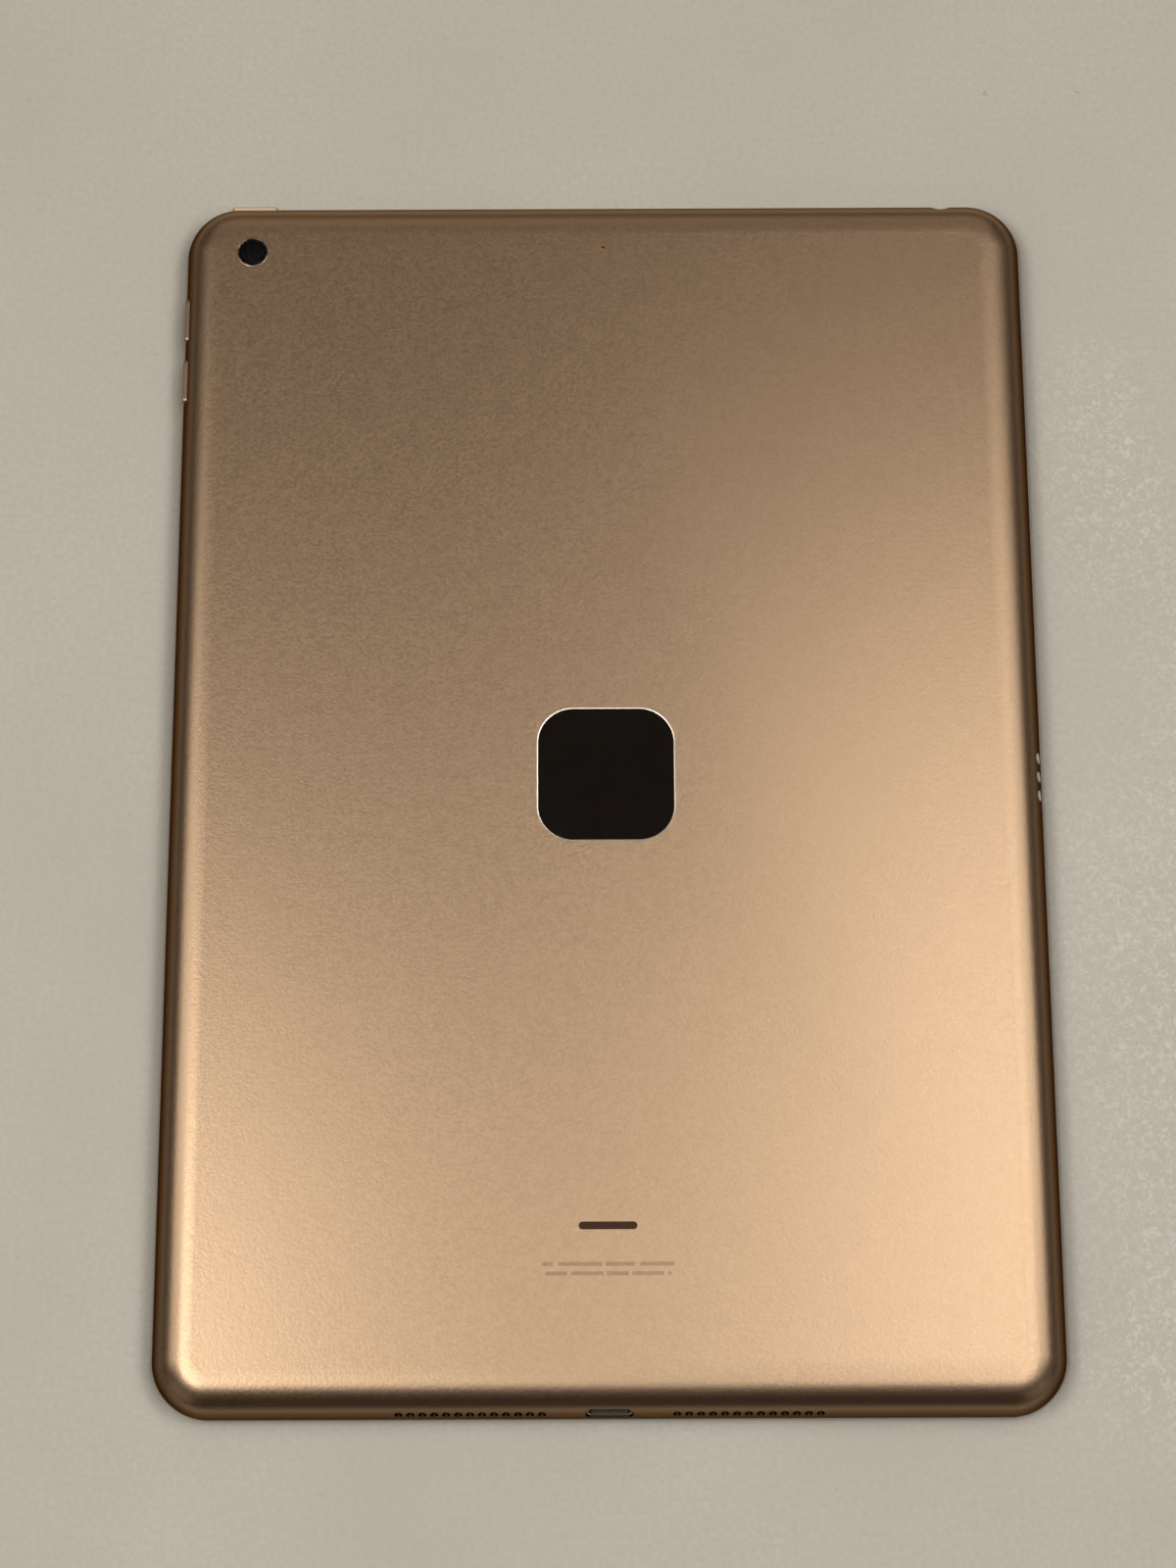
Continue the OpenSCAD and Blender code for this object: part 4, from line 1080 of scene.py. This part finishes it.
def make_front_camera():
    """Front camera with a stepped barrel on a square base."""
    low, high = (corner.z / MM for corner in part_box("front_camera"))
    barrel = [
        (0.55, low + 0.42), (0.62, low + 0.4), (0.9, low + 0.28), (0.92, low + 0.16),
        (1.3, low + 0.12), (1.32, low + 0.02), (1.4, low), (1.85, low), (1.9, low + 0.05),
        (1.9, 1.7),
    ]
    sections = [(r, r, r, z) for r, z in barrel]
    sections += [(3.2, 3.2, 0.4, 1.7), (3.2, 3.2, 0.4, high - 0.1), (3.1, 3.1, 0.3, high)]
    stand_in(loft(sections, 12, place=at(0, FRONT_CAMERA_Y, 0)), "front_camera")


# ---------- floor ----------

FLOOR_SIDE = 6.0
FLOOR_OPENING_INSET = 1.2
SHADOW_BROWN = (0.08, 0.04, 0.01)


def scuff(made, x, base):
    """Pale squiggly scuffs on the right-hand side of the floor."""
    right = made.spread(x, 0, 1, cad_high.x - 10 * MM, cad_high.x + 15 * MM)
    scuffed = made.math("MULTIPLY", right, made.spread(made.noise(90.0, 2.0), 0, 1, 0.42, 0.56))
    ridges = made.node("ShaderNodeTexNoise", noise_dimensions="3D")
    ridges.inputs["Scale"].default_value = 700
    ridges.inputs["Detail"].default_value = 2
    ridges.inputs["Distortion"].default_value = 1.5
    made.join(made.place, ridges.inputs["Vector"])
    squiggles = made.spread(ridges.outputs["Fac"], 0, 0.6, 0.5, 0.64)
    return made.blend(made.math("MULTIPLY", scuffed, squiggles), base, (1.0, 0.98, 0.9))


def shade_contact(made, x, y, base):
    """Warm shadow close to the tablet: crisp beside its long sides, soft along its bottom."""
    contact = made.node("ShaderNodeAmbientOcclusion")
    contact.inputs["Distance"].default_value = 5 * MM
    contact.samples = 12
    beside = made.spread(made.math("ABSOLUTE", x), 0, 1, cad_high.x - 9 * MM, cad_high.x)
    depth = made.spread(x, 0.42, 0.38, cad_low.x, cad_high.x)
    crisp = made.math("MULTIPLY", made.math("MULTIPLY", beside, depth),
                      made.spread(contact.outputs["AO"], 1, 0, 0.81, 0.86))
    before = made.spread(y, 1, 0, cad_low.y, cad_low.y + 9 * MM)
    soft = made.math("MULTIPLY", before, made.spread(contact.outputs["AO"], 0.4, 0, 0.55, 0.9))
    return made.blend(made.math("MAXIMUM", crisp, soft), base, SHADOW_BROWN)


def show_from_above_only(made):
    """Makes a surface clear where it is seen from behind."""
    clear = made.node("ShaderNodeBsdfTransparent")
    side = made.node("ShaderNodeNewGeometry")
    mix = made.node("ShaderNodeMixShader")
    made.join(side.outputs["Backfacing"], mix.inputs["Fac"])
    made.join(made.shader.outputs[0], mix.inputs[1])
    made.join(clear.outputs[0], mix.inputs[2])
    made.join(mix.outputs[0], made.tree.nodes["Material Output"].inputs["Surface"])


def pale_laminate():
    """Pale speckled laminate with a pebbled face, patches and a little dust."""
    made = Surface("pale_laminate", (0.80, 0.77, 0.68), 0.5)
    pebbles = made.node("ShaderNodeTexVoronoi", feature="SMOOTH_F1")
    pebbles.inputs["Scale"].default_value = 420
    made.join(made.place, pebbles.inputs["Vector"])
    patches = made.spread(made.noise(70.0, 4.0), 0, 1)
    base = made.blend(patches, (0.76, 0.73, 0.64), (0.84, 0.81, 0.72))
    speckle = made.spread(made.noise(1.1, 5.0), 0, 0.7)
    base = made.blend(speckle, base, (0.70, 0.67, 0.59))
    x, y, _ = made.axes()
    base = scuff(made, x, base)
    dust = made.spread(made.noise(4.0, 6.0), 0, 0.8, 0.72, 0.78)
    base = made.blend(dust, base, (0.45, 0.42, 0.36))
    made.set_color(shade_contact(made, x, y, base))
    made.set_roughness(made.spread(made.noise(40.0), 0.45, 0.6))
    made.bump(pebbles.outputs["Distance"], 0.03)
    made.bump(made.noise(2.5, 4.0), 0.03)
    show_from_above_only(made)
    return made


def make_floor():
    """Floor that shows from above only, with an opening that the tablet covers, so that views
    from below see the tablet's front, and the lamp below lights it."""
    bm = bmesh.new()
    half, gap = FLOOR_SIDE / 2, FLOOR_OPENING_INSET * MM
    hole = outline(cad_high.x - gap, cad_high.y - gap, CORNER_R * MM - gap, 8)
    border = outline(half, half, 0.5, 8)
    inner, outer = ([bm.verts.new((*point, 0)) for point in ring] for ring in (hole, border))
    for k in range(len(inner)):
        j = (k + 1) % len(inner)
        bm.faces.new((outer[k], outer[j], inner[j], inner[k]))
    floor = as_object(bm, "floor")
    floor.data.materials.append(pale_laminate().material)


# ---------- building ----------

make_camera()
make_lights()
make_floor()
for name, part in PARTS.items():
    paint(part, SLOT_OF[name])
make_housing()
make_inlay()
make_buttons()
make_rear_camera()
make_contacts()
make_port_bezel()
make_glass()
make_border()
make_gasket()
make_home_button()
make_front_camera()
